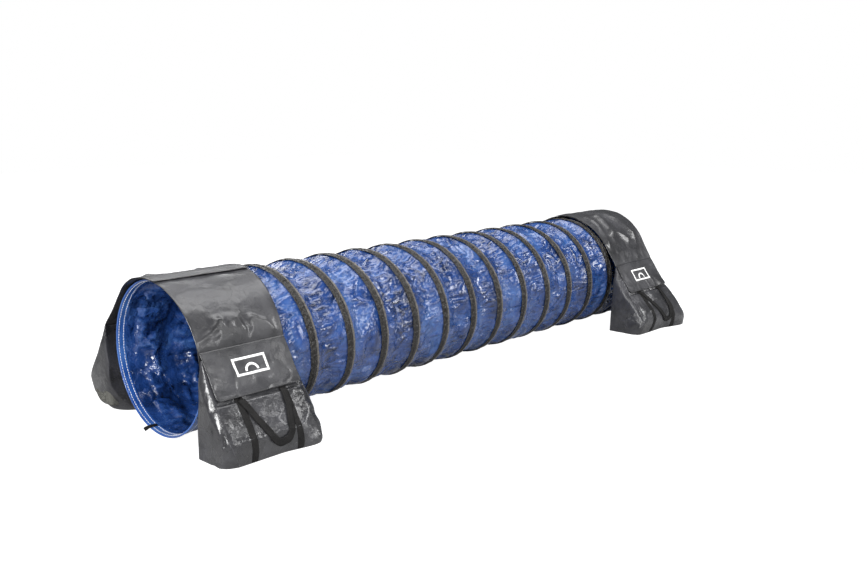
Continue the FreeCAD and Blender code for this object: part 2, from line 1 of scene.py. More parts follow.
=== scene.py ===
"""The looks of a dog agility tunnel: a crinkled vinyl tube on a spring, with two weighted saddles."""

import math

import bmesh
import bpy
import numpy as np
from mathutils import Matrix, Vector
from mathutils.bvhtree import BVHTree
from mathutils.kdtree import KDTree

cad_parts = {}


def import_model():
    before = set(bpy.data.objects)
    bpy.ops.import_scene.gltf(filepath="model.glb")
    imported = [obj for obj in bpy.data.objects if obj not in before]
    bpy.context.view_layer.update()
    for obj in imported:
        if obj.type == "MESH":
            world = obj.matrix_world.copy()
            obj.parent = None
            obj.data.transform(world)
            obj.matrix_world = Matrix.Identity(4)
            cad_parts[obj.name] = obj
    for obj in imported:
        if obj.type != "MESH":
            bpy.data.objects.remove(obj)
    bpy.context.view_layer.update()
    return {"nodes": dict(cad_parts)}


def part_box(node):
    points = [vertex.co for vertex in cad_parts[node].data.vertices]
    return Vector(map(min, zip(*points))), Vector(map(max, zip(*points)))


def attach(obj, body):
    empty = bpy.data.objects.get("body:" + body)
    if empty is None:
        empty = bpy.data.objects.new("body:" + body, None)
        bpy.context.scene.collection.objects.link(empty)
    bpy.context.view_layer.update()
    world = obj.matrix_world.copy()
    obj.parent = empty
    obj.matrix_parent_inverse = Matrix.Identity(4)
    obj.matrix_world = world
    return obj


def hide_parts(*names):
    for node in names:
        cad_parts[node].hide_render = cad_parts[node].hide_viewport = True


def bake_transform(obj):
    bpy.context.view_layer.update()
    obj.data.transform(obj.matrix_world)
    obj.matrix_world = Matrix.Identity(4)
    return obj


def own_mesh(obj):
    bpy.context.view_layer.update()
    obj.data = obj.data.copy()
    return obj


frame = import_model()

# Sizes are in metres and angles in degrees. Places along the tunnel come from the frame's own boxes.
NEAR_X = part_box("near_hem")[0][0]
FAR_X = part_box("far_hem")[1][0]
AXIS_Z = (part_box("near_hem")[0][2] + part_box("near_hem")[1][2]) / 2

SKIN_RADIUS = 0.2985
SKIN_OUTSIDE = 0.2995
SKIN_AT_RIBS = 0.2993
SKIN_IN_HEM = 0.2996
SKIN_SAG = 0.025
PITCH = 0.1935
RIB_START = 0.062
RIB_FIRST_TOP = 0.086
RIB_TURNS = (FAR_X - NEAR_X - 2 * RIB_START) / PITCH
TAPE_INNER = 0.3003
TAPE_WIDTH = 0.042
WIRE_RADIUS = 0.0015

HEM_DEPTH = 0.038
HEM_OUTSIDE = 0.3012
HEM_INSIDE = 0.2983
BEAD_RADIUS = 0.0036
BEAD_CENTRE = 0.3024
STITCH_ROWS = (0.009, 0.029)
STITCH_PITCH = 0.0115
STITCH_LENGTH = 0.0096
STITCH_RADIUS = 0.0015

SADDLE_WIDTH = 0.42
SNUG_RADIUS = 0.3110
WIDE_RADIUS = 0.3147
COVER_START = 30
WIDE_START = 12
CLOTH_THICK = 0.0012
POUCH_WIDTH = 0.424
FLAP_WIDTH = 0.372
FLAP_GAP = 0.0022
FLAP_CORNER = 0.014
FLAP_THICK = 0.0013
UNDER_FLAP = 0.012
MOUTH_WIDTH = 0.3
MOUTH_DEPTH = 0.034
BAND_SPACING = 0.2
BAND_WIDTH = 0.027
BAND_THICK = 0.0012
BAND_STANDOFF = 0.0001
HANDLE_WIDTH = 0.026
HANDLE_THICK = 0.0021
HANDLE_STANDOFF = 0.0032
HANDLE_BELOW_FLAP = 0.009
HANDLE_DROP = 0.156
STRAP_WIDTH = 0.016
STRAP_THICK = 0.0014
PIPING_RADIUS = 0.0019
POUCH_HEART = 0.12
POUCH_GIVE = 0.024
FLOOR_GAP = 0.0014

# The sections of a saddle's sides, as (out, up) from the tunnel's middle line on the floor.
SIDES = {
    "snug": {
        "hinge": (0.3045, 0.386),
        "flap_angle": 59.3,
        "flap_length": 0.190,
        "inner_foot": 0.312,
        "inner_top": 0.312,
        "shoulder": (0.452, 0.142),
        "belly": (0.488, 0.052),
        "front_foot": 0.466,
    },
    "slack": {
        "hinge": (0.3845, 0.383),
        "flap_angle": 57.9,
        "flap_length": 0.180,
        "inner_foot": 0.352,
        "inner_top": 0.384,
        "shoulder": (0.516, 0.168),
        "belly": (0.541, 0.084),
        "front_foot": 0.486,
        "tangent": 42.3,
        "skirt": 0.228,
    },
    "loose": {
        "hinge": (0.335, 0.368),
        "flap_angle": 55.0,
        "flap_length": 0.176,
        "inner_foot": 0.330,
        "inner_top": 0.335,
        "shoulder": (0.494, 0.160),
        "belly": (0.541, 0.084),
        "front_foot": 0.486,
        "tangent": 56.9,
        "skirt": 0.127,
    },
}
FITS = {
    "near_front": "snug",
    "near_back": "slack",
    "far_front": "loose",
    "far_back": "snug",
}
SLACKNESS = {"snug": 0.9, "slack": 1.6, "loose": 1.9}

# Folds of each cover: height, width, and a line of (along, down from the cover's top edge).
COVER_FOLDS = {
    "near_front": [
        (0.0035, 0.014, [(0.15, 0.10), (0.02, 0.165), (-0.10, 0.20)]),
        (0.0030, 0.012, [(0.05, 0.09), (-0.12, 0.17)]),
    ],
    "near_back": [
        (0.010, 0.024, [(-0.16, 0.10), (-0.10, 0.30), (-0.14, 0.50)]),
        (0.009, 0.020, [(0.10, 0.20), (0.06, 0.45)]),
    ],
    "far_front": [
        (0.016, 0.036, [(0.06, 0.02), (0.03, 0.16), (0.07, 0.30)]),
        (0.014, 0.030, [(-0.10, 0.02), (-0.06, 0.16), (-0.13, 0.33)]),
        (0.009, 0.020, [(0.17, 0.06), (0.12, 0.20), (0.17, 0.38)]),
        (0.007, 0.016, [(0.02, 0.30), (-0.05, 0.37)]),
    ],
    "far_back": [
        (0.006, 0.018, [(0.08, 0.16), (0.03, 0.34)]),
        (0.006, 0.016, [(-0.11, 0.12), (-0.08, 0.30)]),
    ],
}

# The near front cover's folds above its seam: down is measured from the seam.
SEAM_FOLDS = [
    (0.006, 0.013, [(0.19, -0.040), (0.13, -0.062), (0.085, -0.085)]),
    (0.007, 0.014, [(-0.076, -0.085), (-0.118, -0.055), (-0.155, -0.025)]),
]
SAG_FOLDS = [
    (0.006, 0.013, [(0.078, -0.105), (0.074, -0.02)]),
    (0.005, 0.012, [(0.036, -0.085), (0.040, -0.02)]),
    (-0.007, 0.015, [(-0.030, -0.105), (-0.048, -0.055), (-0.030, 0)]),
    (-0.005, 0.014, [(-0.090, -0.030), (-0.130, -0.010)]),
]

# The near back pouch's slumped side: height, width, and a line of (out, up).
GUSSET_FOLDS = [
    (0.012, 0.012, [(0.37, 0.05), (0.43, 0.075), (0.50, 0.06)]),
    (-0.018, 0.011, [(0.405, 0.36), (0.425, 0.20), (0.405, 0.09)]),
    (-0.014, 0.010, [(0.455, 0.20), (0.470, 0.10), (0.445, 0.02)]),
]

# How far each pouch's foot corners are worn round: at the + end and at the - end of its width.
FOOT_ROUND = {
    "near_front": (0.055, 0.006),
    "near_back": (0.030, 0.060),
    "far_front": (0.030, 0.004),
    "far_back": (0.030, 0.030),
}
# How much of the pouch's width its - end keeps, at five heights from the floor up.
END_KEPT = {
    "near_front": (0.92, 0.92, 0.94, 0.96, 0.98),
    "near_back": (0.52, 0.66, 0.80, 0.88, 0.95),
    "far_back": (0.85, 0.90, 0.95, 1.0, 1.0),
}
# How far the foot's front is drawn out at the pouch's - end.
FOOT_SPREAD = {"near_front": 0.022, "far_front": 0.048}
# How much of the half width the near front pouch's + seam keeps, from the flap down to the foot.
SEAM_SHARE = (1.0, 0.97, 0.84, 0.70)
HANDLE_SHIFT = {"near_front": 0.0, "near_back": 0.02, "far_front": -0.015, "far_back": 0.01}


# ---------------------------------------------------------------- numbers


def lattice_table(seed):
    """A shuffled table and a set of directions for the noise below."""
    source = np.random.default_rng(seed)
    order = source.permutation(256)
    directions = source.normal(size=(256, 3))
    directions /= np.linalg.norm(directions, axis=1)[:, None]
    return np.concatenate([order, order]), directions


ORDER, DIRECTIONS = lattice_table(11)
CREASE_SHARPNESS = 22
CLOTH_GLIDE = 0.86


def shuffled(cell):
    """A number from 0 to 255 for each cell of space."""
    cell = cell & 255
    return ORDER[ORDER[ORDER[cell[:, 0]] + cell[:, 1]] + cell[:, 2]]


def noise(points, size, seed=0):
    """Smooth noise from about -1 to 1, whose bumps are about size across."""
    spot = np.reshape(points, (-1, 3)) / size + seed * 17.31
    base = np.floor(spot).astype(int)
    part = spot - base
    fade = part**3 * (part * (part * 6 - 15) + 10)
    total = np.zeros(len(spot))
    for corner in np.ndindex(2, 2, 2):
        weight = np.prod(np.where(corner, fade, 1 - fade), axis=1)
        total += weight * ((part - corner) * DIRECTIONS[shuffled(base + corner)]).sum(axis=1)
    return (total * 1.7).reshape(np.shape(points)[:-1])


def ridges(points, size, seed):
    """Noise with sharp crests, up to 1."""
    return 1 - np.abs(noise(points, size, seed)) * 1.6


def facets(points, size, seed):
    """Heights of a crumpled sheet: flat tilted patches about size across, with sharp creases."""
    spot = np.reshape(points, (-1, 3)) / size + seed * 9.7
    base = np.floor(spot).astype(int)
    source = np.random.default_rng(900 + seed)
    jitter, tilt = source.random((256, 3)), unit(source.normal(size=(256, 3)))
    gaps, heights = [], []
    for offset in np.ndindex(3, 3, 3):
        cell = base + offset - 1
        pick = shuffled(cell)
        away = spot - cell - jitter[pick]
        gaps.append(np.sqrt((away**2).sum(axis=1)))
        heights.append((away * tilt[pick]).sum(axis=1))
    gaps, heights = np.array(gaps), np.array(heights)
    weight = np.exp(-(gaps - gaps.min(axis=0)) * CREASE_SHARPNESS)
    return ((heights * weight).sum(axis=0) / weight.sum(axis=0)).reshape(np.shape(points)[:-1])


def step_between(low, high, value):
    share = np.clip((value - low) / (high - low), 0, 1)
    return share * share * (3 - 2 * share)


def unit(vectors):
    length = np.sqrt((vectors**2).sum(axis=-1, keepdims=True))
    return vectors / np.maximum(length, 1e-12)


def eased(values, rounds):
    """Values along a line, each drawn towards its two neighbours."""
    values = values.copy()
    for _ in range(rounds):
        values[1:-1] = (values[:-2] + 2 * values[1:-1] + values[2:]) / 4
    return values


def distances(line):
    """How far along a line each of its points is."""
    step = np.sqrt((np.diff(line, axis=0) ** 2).sum(axis=1))
    return np.concatenate([[0], np.cumsum(step)])


def resampled(line, spacing, smooth=0):
    """The same line with even spacing, optionally with its corners eased."""
    line = np.asarray(line, float)
    along = distances(line)
    at = np.linspace(0, along[-1], max(2, int(round(along[-1] / spacing)) + 1))
    even = np.stack([np.interp(at, along, line[:, k]) for k in range(line.shape[1])], axis=1)
    return eased(even, smooth)


def line_distance(points, line):
    """How far each point is from a line of straight runs."""
    nearest = np.full(len(points), np.inf)
    for start, end in zip(line[:-1], line[1:]):
        run = np.subtract(end, start)
        share = np.clip(((points - start) @ run) / (run @ run), 0, 1)
        gap = points - start - share[:, None] * run
        nearest = np.minimum(nearest, np.sqrt((gap**2).sum(axis=1)))
    return nearest


def folds(points, shapes):
    """Rounded creases, each with a height, a width and a line, on points of the same flat space."""
    total = np.zeros(len(points))
    for height, width, line in shapes:
        total += height * np.exp(-((line_distance(points, line) / width) ** 2))
    return total


def dip(value, middle, width):
    """A small hollow: 1 in its middle, falling off over its width."""
    return np.exp(-(((value - middle) / width) ** 2))


def summed(index, values, count):
    """The sum of the rows of values that share an index, for each of count indices."""
    columns = [np.bincount(index, weights=column, minlength=count) for column in values.T]
    return np.stack(columns, axis=1)


def relax(points, edges, rest, stiff, free, steps, rules, push):
    """Settles cloth: every edge draws its ends to its own length, within the rules."""
    first, second = edges[:, 0], edges[:, 1]
    count = len(points)
    share_of = np.bincount(first, weights=stiff, minlength=count)
    share_of += np.bincount(second, weights=stiff, minlength=count)
    give = (1.7 * free / np.maximum(share_of, 1e-9))[:, None]
    before = points.copy()
    for _ in range(steps):
        drift = (points - before) * CLOTH_GLIDE * free[:, None]
        before = points.copy()
        points = points + drift
        points = points + push(points) * free[:, None]
        for _ in range(2):
            gap = points[second] - points[first]
            length = np.sqrt((gap**2).sum(axis=1)) + 1e-9
            pull = (stiff * (length - rest) / length * 0.5)[:, None] * gap
            points = points + (summed(first, pull, count) - summed(second, pull, count)) * give
        points = rules(points)
    return points


def cloth_links(points, kinds, excess):
    """The edges of all kinds, how long the cloth is along each, and how stiff each is."""
    edges = np.concatenate([pairs for pairs, _ in kinds])
    stiff = np.concatenate([np.full(len(pairs), strength) for pairs, strength in kinds])
    rest = np.sqrt(((points[edges[:, 0]] - points[edges[:, 1]]) ** 2).sum(axis=1))
    return edges, rest * (excess[edges[:, 0]] + excess[edges[:, 1]]) / 2, stiff


# ---------------------------------------------------------------- meshes


def grid_quads(rows, columns, wrapped=False):
    """Faces of a grid of points, and each face corner's row and column."""
    row, column = np.indices((rows - 1, columns if wrapped else columns - 1)).reshape(2, -1)
    corner_rows = np.stack([row, row, row + 1, row + 1], axis=1)
    corner_columns = np.stack([column, column + 1, column + 1, column], axis=1)
    quads = corner_rows * columns + corner_columns % columns
    return quads, corner_rows, corner_columns


def wrapped_pairs(rows, columns, *steps):
    """Pairs of points that lie (down, across) apart in a grid whose rows are closed rings."""
    index = np.arange(rows * columns).reshape(rows, columns)
    found = []
    for down, across in steps:
        other = np.roll(index, (-down, -across), axis=(0, 1))
        found.append(np.stack([index[: rows - down].ravel(), other[: rows - down].ravel()], axis=1))
    return np.concatenate(found)


def build(name, points, faces, corner_uv=None):
    """A smooth-shaded mesh object. corner_uv holds cloth coordinates in metres."""
    mesh = bpy.data.meshes.new(name)
    mesh.from_pydata(np.reshape(points, (-1, 3)).tolist(), [], [list(f) for f in faces])
    mesh.polygons.foreach_set("use_smooth", np.ones(len(mesh.polygons), bool))
    if corner_uv is not None:
        layer = mesh.uv_layers.new(name="cloth")
        layer.data.foreach_set("uv", np.asarray(corner_uv, np.float32).ravel())
    mesh.update()
    piece = bpy.data.objects.new(name, mesh)
    bpy.context.scene.collection.objects.link(piece)
    return piece


def shell(points, thick, spacing, outward, row=1, column=1):
    """A grid of points given a thickness, as points, faces and cloth coordinates.

    The grid is the outer face: at that row and column it looks along outward.
    """
    rows, columns = points.shape[:2]
    count = rows * columns
    normals = unit(np.cross(np.gradient(points, axis=0), np.gradient(points, axis=1)))
    turned = normals[row, column] @ outward < 0
    inner = points - normals * (-thick if turned else thick)
    index = np.arange(count).reshape(rows, columns)
    top = grid_quads(rows, columns)[0]
    faces = [top, (top + count)[:, ::-1]]
    for line in (index[0], index[-1, ::-1], index[:, -1], index[::-1, 0]):
        faces.append(np.stack([line[:-1], line[:-1] + count, line[1:] + count, line[1:]], axis=1))
    faces = np.concatenate(faces)
    if turned:
        faces = faces[:, ::-1]
    cell = faces % count
    uv = np.stack([cell // columns * spacing[0], cell % columns * spacing[1]], axis=-1)
    return np.concatenate([points.reshape(-1, 3), inner.reshape(-1, 3)]), faces, uv


def joined(parts):
    """Several (points, faces, ...) groups as one. The faces count on from group to group."""
    starts = np.cumsum([0] + [len(part[0]) for part in parts])
    moved = [(part[0], part[1] + start, *part[2:]) for part, start in zip(parts, starts)]
    return [np.concatenate(group) for group in zip(*moved)]


def tube(line, radius, sides):
    """The points and faces of a round bar along a line of points, without its ends."""
    tangent = unit(np.gradient(line, axis=0))
    helper = np.where(np.abs(tangent[:, 2:3]) > 0.9, [[1.0, 0, 0]], [[0, 0, 1.0]])
    across = unit(np.cross(tangent, helper))
    upward = np.cross(tangent, across)
    turn = np.arange(sides)[None, :, None] / sides * 2 * math.pi
    reach = np.broadcast_to(np.asarray(radius, float), (len(line),))
    ring = np.cos(turn) * across[:, None] + np.sin(turn) * upward[:, None]
    points = line[:, None] + reach[:, None, None] * ring
    return points.reshape(-1, 3), grid_quads(len(line), sides, True)[0]


def end_faces(count, sides):
    """The two faces that close a bar of count points made of rings of that many sides."""
    return [list(range(sides))[::-1], list(range(count - sides, count))]


def mesh_arrays(piece):
    """The points, edges and faces of a mesh of four-sided faces, as arrays."""
    mesh = piece.data
    points = np.empty(len(mesh.vertices) * 3)
    mesh.vertices.foreach_get("co", points)
    edges = np.empty(len(mesh.edges) * 2, int)
    mesh.edges.foreach_get("vertices", edges)
    quads = np.empty(len(mesh.loops), int)
    mesh.loops.foreach_get("vertex_index", quads)
    return points.reshape(-1, 3), edges.reshape(-1, 2), quads.reshape(-1, 4)


def point_normals(points, quads):
    """Area-weighted point normals of a mesh of four-sided faces."""
    flat = np.cross(points[quads[:, 2]] - points[quads[:, 0]], points[quads[:, 3]] - points[quads[:, 1]])
    return unit(sum(summed(quads[:, k], flat, len(points)) for k in range(4)))


def apply_modifiers(piece):
    """Makes the piece's modifiers part of its mesh."""
    graph = bpy.context.evaluated_depsgraph_get()
    graph.update()
    mesh = bpy.data.meshes.new_from_object(piece.evaluated_get(graph))
    piece.modifiers.clear()
    piece.data = mesh


def dress(piece, material, body, node):
    """Gives a piece its material and its body, and hides the CAD node it stands for."""
    piece.data.materials.clear()
    piece.data.materials.append(material)
    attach(piece, body)
    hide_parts(node)


# ---------------------------------------------------------------- materials


def fill(tree, node, inputs):
    """Sets a node's inputs: a socket is linked, and a plain value is set."""
    for key, value in inputs.items():
        if isinstance(value, bpy.types.NodeSocket):
            tree.links.new(value, node.inputs[key])
        else:
            node.inputs[key].default_value = value
    return node


def add(tree, kind, inputs, **settings):
    node = tree.nodes.new("ShaderNode" + kind)
    for key, value in settings.items():
        setattr(node, key, value)
    return fill(tree, node, inputs)


def colour(hex_code):
    """A linear colour from its usual six-digit code."""
    parts = [int(hex_code[i : i + 2], 16) / 255 for i in (0, 2, 4)]
    linear = [c / 12.92 if c <= 0.04045 else ((c + 0.055) / 1.055) ** 2.4 for c in parts]
    return (*linear, 1.0)


def new_material(name):
    material = bpy.data.materials.new(name)
    material.use_nodes = True
    tree = material.node_tree
    tree.nodes.clear()
    shader = add(tree, "BsdfPrincipled", {})
    add(tree, "OutputMaterial", {"Surface": shader.outputs["BSDF"]})
    return material, tree, shader


def object_place(tree):
    return add(tree, "TexCoord", {}).outputs["Object"]


def value_of(tree, operation, left, right):
    return add(tree, "Math", {0: left, 1: right}, operation=operation).outputs[0]


def vector_of(tree, operation, left, right):
    return add(tree, "VectorMath", {0: left, 1: right}, operation=operation).outputs[0]


def scaled(tree, vector, scale):
    return add(tree, "VectorMath", {0: vector, "Scale": scale}, operation="SCALE").outputs[0]


def span(tree, value, low, high, start=0.0, end=1.0):
    """A value's run from low to high, spread from start to end."""
    inputs = {"Value": value, "From Min": low, "From Max": high, "To Min": start, "To Max": end}
    return add(tree, "MapRange", inputs).outputs[0]


def ramp(tree, value, stops):
    """Colours between those of the stops, each a place and a six-digit code."""
    node = add(tree, "ValToRGB", {"Fac": value})
    elements = node.color_ramp.elements
    while len(elements) < len(stops):
        elements.new(0.5)
    for element, (at, code) in zip(elements, stops):
        element.position = at
        element.color = colour(code)
    return node.outputs["Color"]


def bump(tree, height, distance, strength=1.0, below=None):
    inputs = {"Height": height, "Distance": distance, "Strength": strength}
    if below is not None:
        inputs["Normal"] = below
    return add(tree, "Bump", inputs).outputs["Normal"]


def crumple(tree, place, scale, steep, below):
    """Flat tilted patches like those of crushed foil, as a surface direction."""
    cells = add(tree, "TexVoronoi", {"Vector": place, "Scale": scale, "Randomness": 1.0})
    centre = scaled(tree, cells.outputs["Position"], scale)
    away = vector_of(tree, "SUBTRACT", scaled(tree, place, scale), centre)
    tilt = vector_of(tree, "SUBTRACT", cells.outputs["Color"], (0.5, 0.5, 0.5))
    height = add(tree, "VectorMath", {0: away, 1: tilt}, operation="DOT_PRODUCT").outputs["Value"]
    return bump(tree, height, steep / scale, 1.0, below)


def vinyl(name, shades, creases, fineness, roughness, coat):
    """Glossy coated cloth: crushed patches of several sizes, and uneven gloss. Its colour follows random wear
    and curvature, with painted shade in creases and painted highlights on ridges.
    """
    material, tree, shader = new_material(name)
    place = object_place(tree)
    drift = add(tree, "TexNoise", {"Vector": place, "Scale": 12.0, "Detail": 4.0})
    mixed = vector_of(tree, "MULTIPLY", drift.outputs["Color"], (0.07, 0.07, 0.07))
    bent = vector_of(tree, "ADD", place, mixed)
    soft = add(tree, "TexNoise", {"Vector": bent, "Scale": 18.0 * fineness, "Detail": 3.0})
    normal = bump(tree, soft.outputs["Fac"], 0.008 * creases)
    for scale, steep in ((8.0, 0.46), (17.0, 0.50), (36.0, 0.20)):
        normal = crumple(tree, bent, scale * fineness, steep * creases, normal)
    grain = add(tree, "TexNoise", {"Vector": place, "Scale": 900.0, "Detail": 2.0})
    wear = {"Vector": place, "Scale": 6.0, "Detail": 6.0, "Roughness": 0.6}
    worn = add(tree, "TexNoise", wear).outputs["Fac"]
    # Curvature darkens creases and lightens ridges: painted shade and painted highlight, added to the random
    # wear tone.
    pointed = add(tree, "NewGeometry", {}).outputs["Pointiness"]
    crease_shade_ridge_light = value_of(tree, "MULTIPLY", value_of(tree, "SUBTRACT", pointed, 0.5), 2.2)
    tone = value_of(tree, "ADD", worn, crease_shade_ridge_light)
    looks = {
        "Base Color": ramp(tree, tone, list(zip((0.28, 0.5, 0.78), shades))),
        "Normal": bump(tree, grain.outputs["Fac"], 0.00008, 0.6, normal),
        "Roughness": span(tree, worn, 0.3, 0.7, roughness * 0.75, roughness * 1.3),
        "Coat Weight": coat,
        "Coat Roughness": 0.08,
        "Specular IOR Level": 0.6,
    }
    fill(tree, shader, looks)
    return material


def webbing(name, base, light, thread, edge=None):
    """Woven tape: slanted ribs across its length. With an edge colour, a gathered glossy tape whose lighter
    raised side is a painted highlight.
    """
    material, tree, shader = new_material(name)
    cloth = add(tree, "UVMap", {}, uv_map="cloth").outputs["UV"]
    weave = {"Vector": cloth, "Scale": 0.32 / thread, "Distortion": 0.6, "Detail": 1.0}
    cross = {"Vector": cloth, "Scale": 0.45 / thread, "Distortion": 0.4}
    slanted = add(tree, "TexWave", weave, wave_type="BANDS", bands_direction="DIAGONAL")
    crossed = add(tree, "TexWave", cross, wave_type="BANDS", bands_direction="Y")
    both = value_of(tree, "MULTIPLY", slanted.outputs["Fac"], crossed.outputs["Fac"])
    place = object_place(tree)
    dust = add(tree, "TexNoise", {"Vector": place, "Scale": 40.0, "Detail": 5.0})
    tone = value_of(tree, "ADD", value_of(tree, "MULTIPLY", both, 0.45), dust.outputs["Fac"])
    paint = ramp(tree, tone, [(0.25, base), (0.95, light)])
    roughness, shine, gather = 0.7, 0.2, 0.001
    if edge is not None:
        # The lighter strip over the tape's raised side is a painted highlight.
        across = add(tree, "SeparateXYZ", {0: cloth}).outputs[1]
        edge_highlight = span(tree, across, 0.0315, 0.033)
        paint = add(tree, "Mix", {0: edge_highlight, 6: paint, 7: colour(edge)}, data_type="RGBA").outputs[2]
        roughness, shine, gather = 0.34, 0.45, 0.018
    gathers = add(tree, "TexNoise", {"Vector": place, "Scale": 55.0, "Detail": 2.0})
    normal = bump(tree, both, 0.0003, 0.8, bump(tree, gathers.outputs["Fac"], gather))
    looks = {"Base Color": paint, "Normal": normal, "Roughness": roughness, "Specular IOR Level": shine}
    fill(tree, shader, looks)
    return material


def textured(name, texture, low, high, relief, looks):
    """A material of one fine texture, which shades it from low to high and gives it its relief."""
    material, tree, shader = new_material(name)
    height = texture(tree, object_place(tree))
    shade = ramp(tree, height, [low, high])
    fill(tree, shader, {"Base Color": shade, "Normal": bump(tree, height, relief), **looks})
    return material


def speckle(scale, detail):
    """Noise, as of drawn steel or worn ink."""

    def texture(tree, place):
        return add(tree, "TexNoise", {"Vector": place, "Scale": scale, "Detail": detail}).outputs["Fac"]

    return texture


def twist(tree, place):
    """Slanted bands, as of twisted thread."""
    inputs = {"Vector": place, "Scale": 420.0, "Distortion": 2.0}
    return add(tree, "TexWave", inputs, bands_direction="DIAGONAL").outputs["Fac"]


def pile(tree, place):
    """Small cells, as of the hooks and loops of a fastener."""
    return add(tree, "TexVoronoi", {"Vector": place, "Scale": 900.0}).outputs["Distance"]


def plain_weave(tree, place):
    """Two crossed sets of bands, as of canvas."""
    inputs = {"Vector": place, "Scale": 300.0, "Distortion": 0.5}
    warp, weft = (add(tree, "TexWave", inputs, bands_direction=way).outputs["Fac"] for way in "XZ")
    return value_of(tree, "MULTIPLY", warp, weft)


# Each vinyl's three colours, dark to light, are spread by random wear and by painted crease shade and painted
# ridge highlight.
BLUE = vinyl("blue_vinyl", ("091a3d", "1f3f7c", "3d63a0"), 1.0, 1.0, 0.25, 0.5)
HEM_BLUE = vinyl("hem_vinyl", ("1d4590", "2f5da8", "4d7cc2"), 0.25, 2.0, 0.3, 0.3)
GREY = vinyl("grey_vinyl", ("1e1e20", "2d2d30", "3c3c40"), 0.18, 0.8, 0.40, 0.15)
POUCH_GREY = vinyl("pouch_vinyl", ("1d1d1f", "303033", "444449"), 0.60, 0.75, 0.34, 0.2)
# The rib tape's last colour is the painted highlight on its raised side.
TAPE = webbing("rib_tape", "0c0b0a", "262320", 0.0016, "5f5b56")
BLACK = webbing("black_webbing", "080808", "201f1f", 0.0014)
POLISH = {"Metallic": 1.0, "Roughness": 0.34}
STEEL = textured("spring_steel", speckle(300.0, 3.0), (0.3, "7d7f83"), (0.7, "b4b6ba"), 0.00005, POLISH)
WHITE_THREAD = textured("white_thread", twist, (0.0, "dcdde0"), (1.0, "ffffff"), 0.0002, {"Roughness": 0.7})
FUZZ = {"Roughness": 0.9, "Sheen Weight": 0.4}
FASTENER = textured("hook_and_loop", pile, (0.1, "0d0d0e"), (0.8, "2b2b2d"), 0.0006, FUZZ)
CANVAS = textured("sandbag_cloth", plain_weave, (0.0, "4a4a46"), (1.0, "8b8a83"), 0.0003, {"Roughness": 0.85})
INK = textured(
    "white_print", speckle(260.0, 5.0), (0.28, "c9c9c8"), (0.42, "f4f4f2"), 0.0001, {"Roughness": 0.5}
)


# ---------------------------------------------------------------- tunnel


def around(x, angle, radius):
    """Points at that radius from the tunnel's axis. The angle runs from the top to the front (-Y)."""
    x, angle, radius = np.broadcast_arrays(x, angle, radius)
    return np.stack([x, -radius * np.sin(angle), AXIS_Z + radius * np.cos(angle)], axis=-1)


def ring_angles(columns):
    return np.arange(columns) / columns * 2 * math.pi


def rib_x(turns):
    return NEAR_X + RIB_START + PITCH * turns


def rib_angle(turns):
    return 2 * math.pi * ((RIB_START - RIB_FIRST_TOP) / PITCH + turns)


def rib_gap(x, angle):
    """How far along the tunnel each point is from the nearest rib or end."""
    phase = angle / (2 * math.pi) - (RIB_START - RIB_FIRST_TOP) / PITCH
    turns = np.round((x - rib_x(0)) / PITCH - phase) + phase
    turns = np.clip(turns, 0, None)
    gap = np.where(turns > RIB_TURNS, np.inf, np.abs(x - rib_x(turns)))
    end = np.minimum(x - NEAR_X, FAR_X - x) - HEM_DEPTH
    return np.minimum(gap, np.maximum(end, 0) + TAPE_WIDTH / 2)


def squash_with_tunnel(piece):
    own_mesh(piece)


def skin_start(x, angle, bay, held):
    """The skin before it settles: it sags between the ribs in large creased patches."""
    flat = around(x, angle, SKIN_RADIUS)
    bent = flat + 0.02 * np.stack([noise(flat, 0.09, seed) for seed in (5, 6, 7)], axis=-1)
    swell = facets(bent * (2.9, 0.62, 0.62), 0.135, 1) * 0.044
    swell += facets(bent * (2.1, 1.0, 1.0), 0.080, 2) * 0.014
    swell += noise(flat, 0.21, 8) * 0.004
    return around(x, angle, SKIN_AT_RIBS - SKIN_SAG * bay + swell * (1 - held)).reshape(-1, 3)


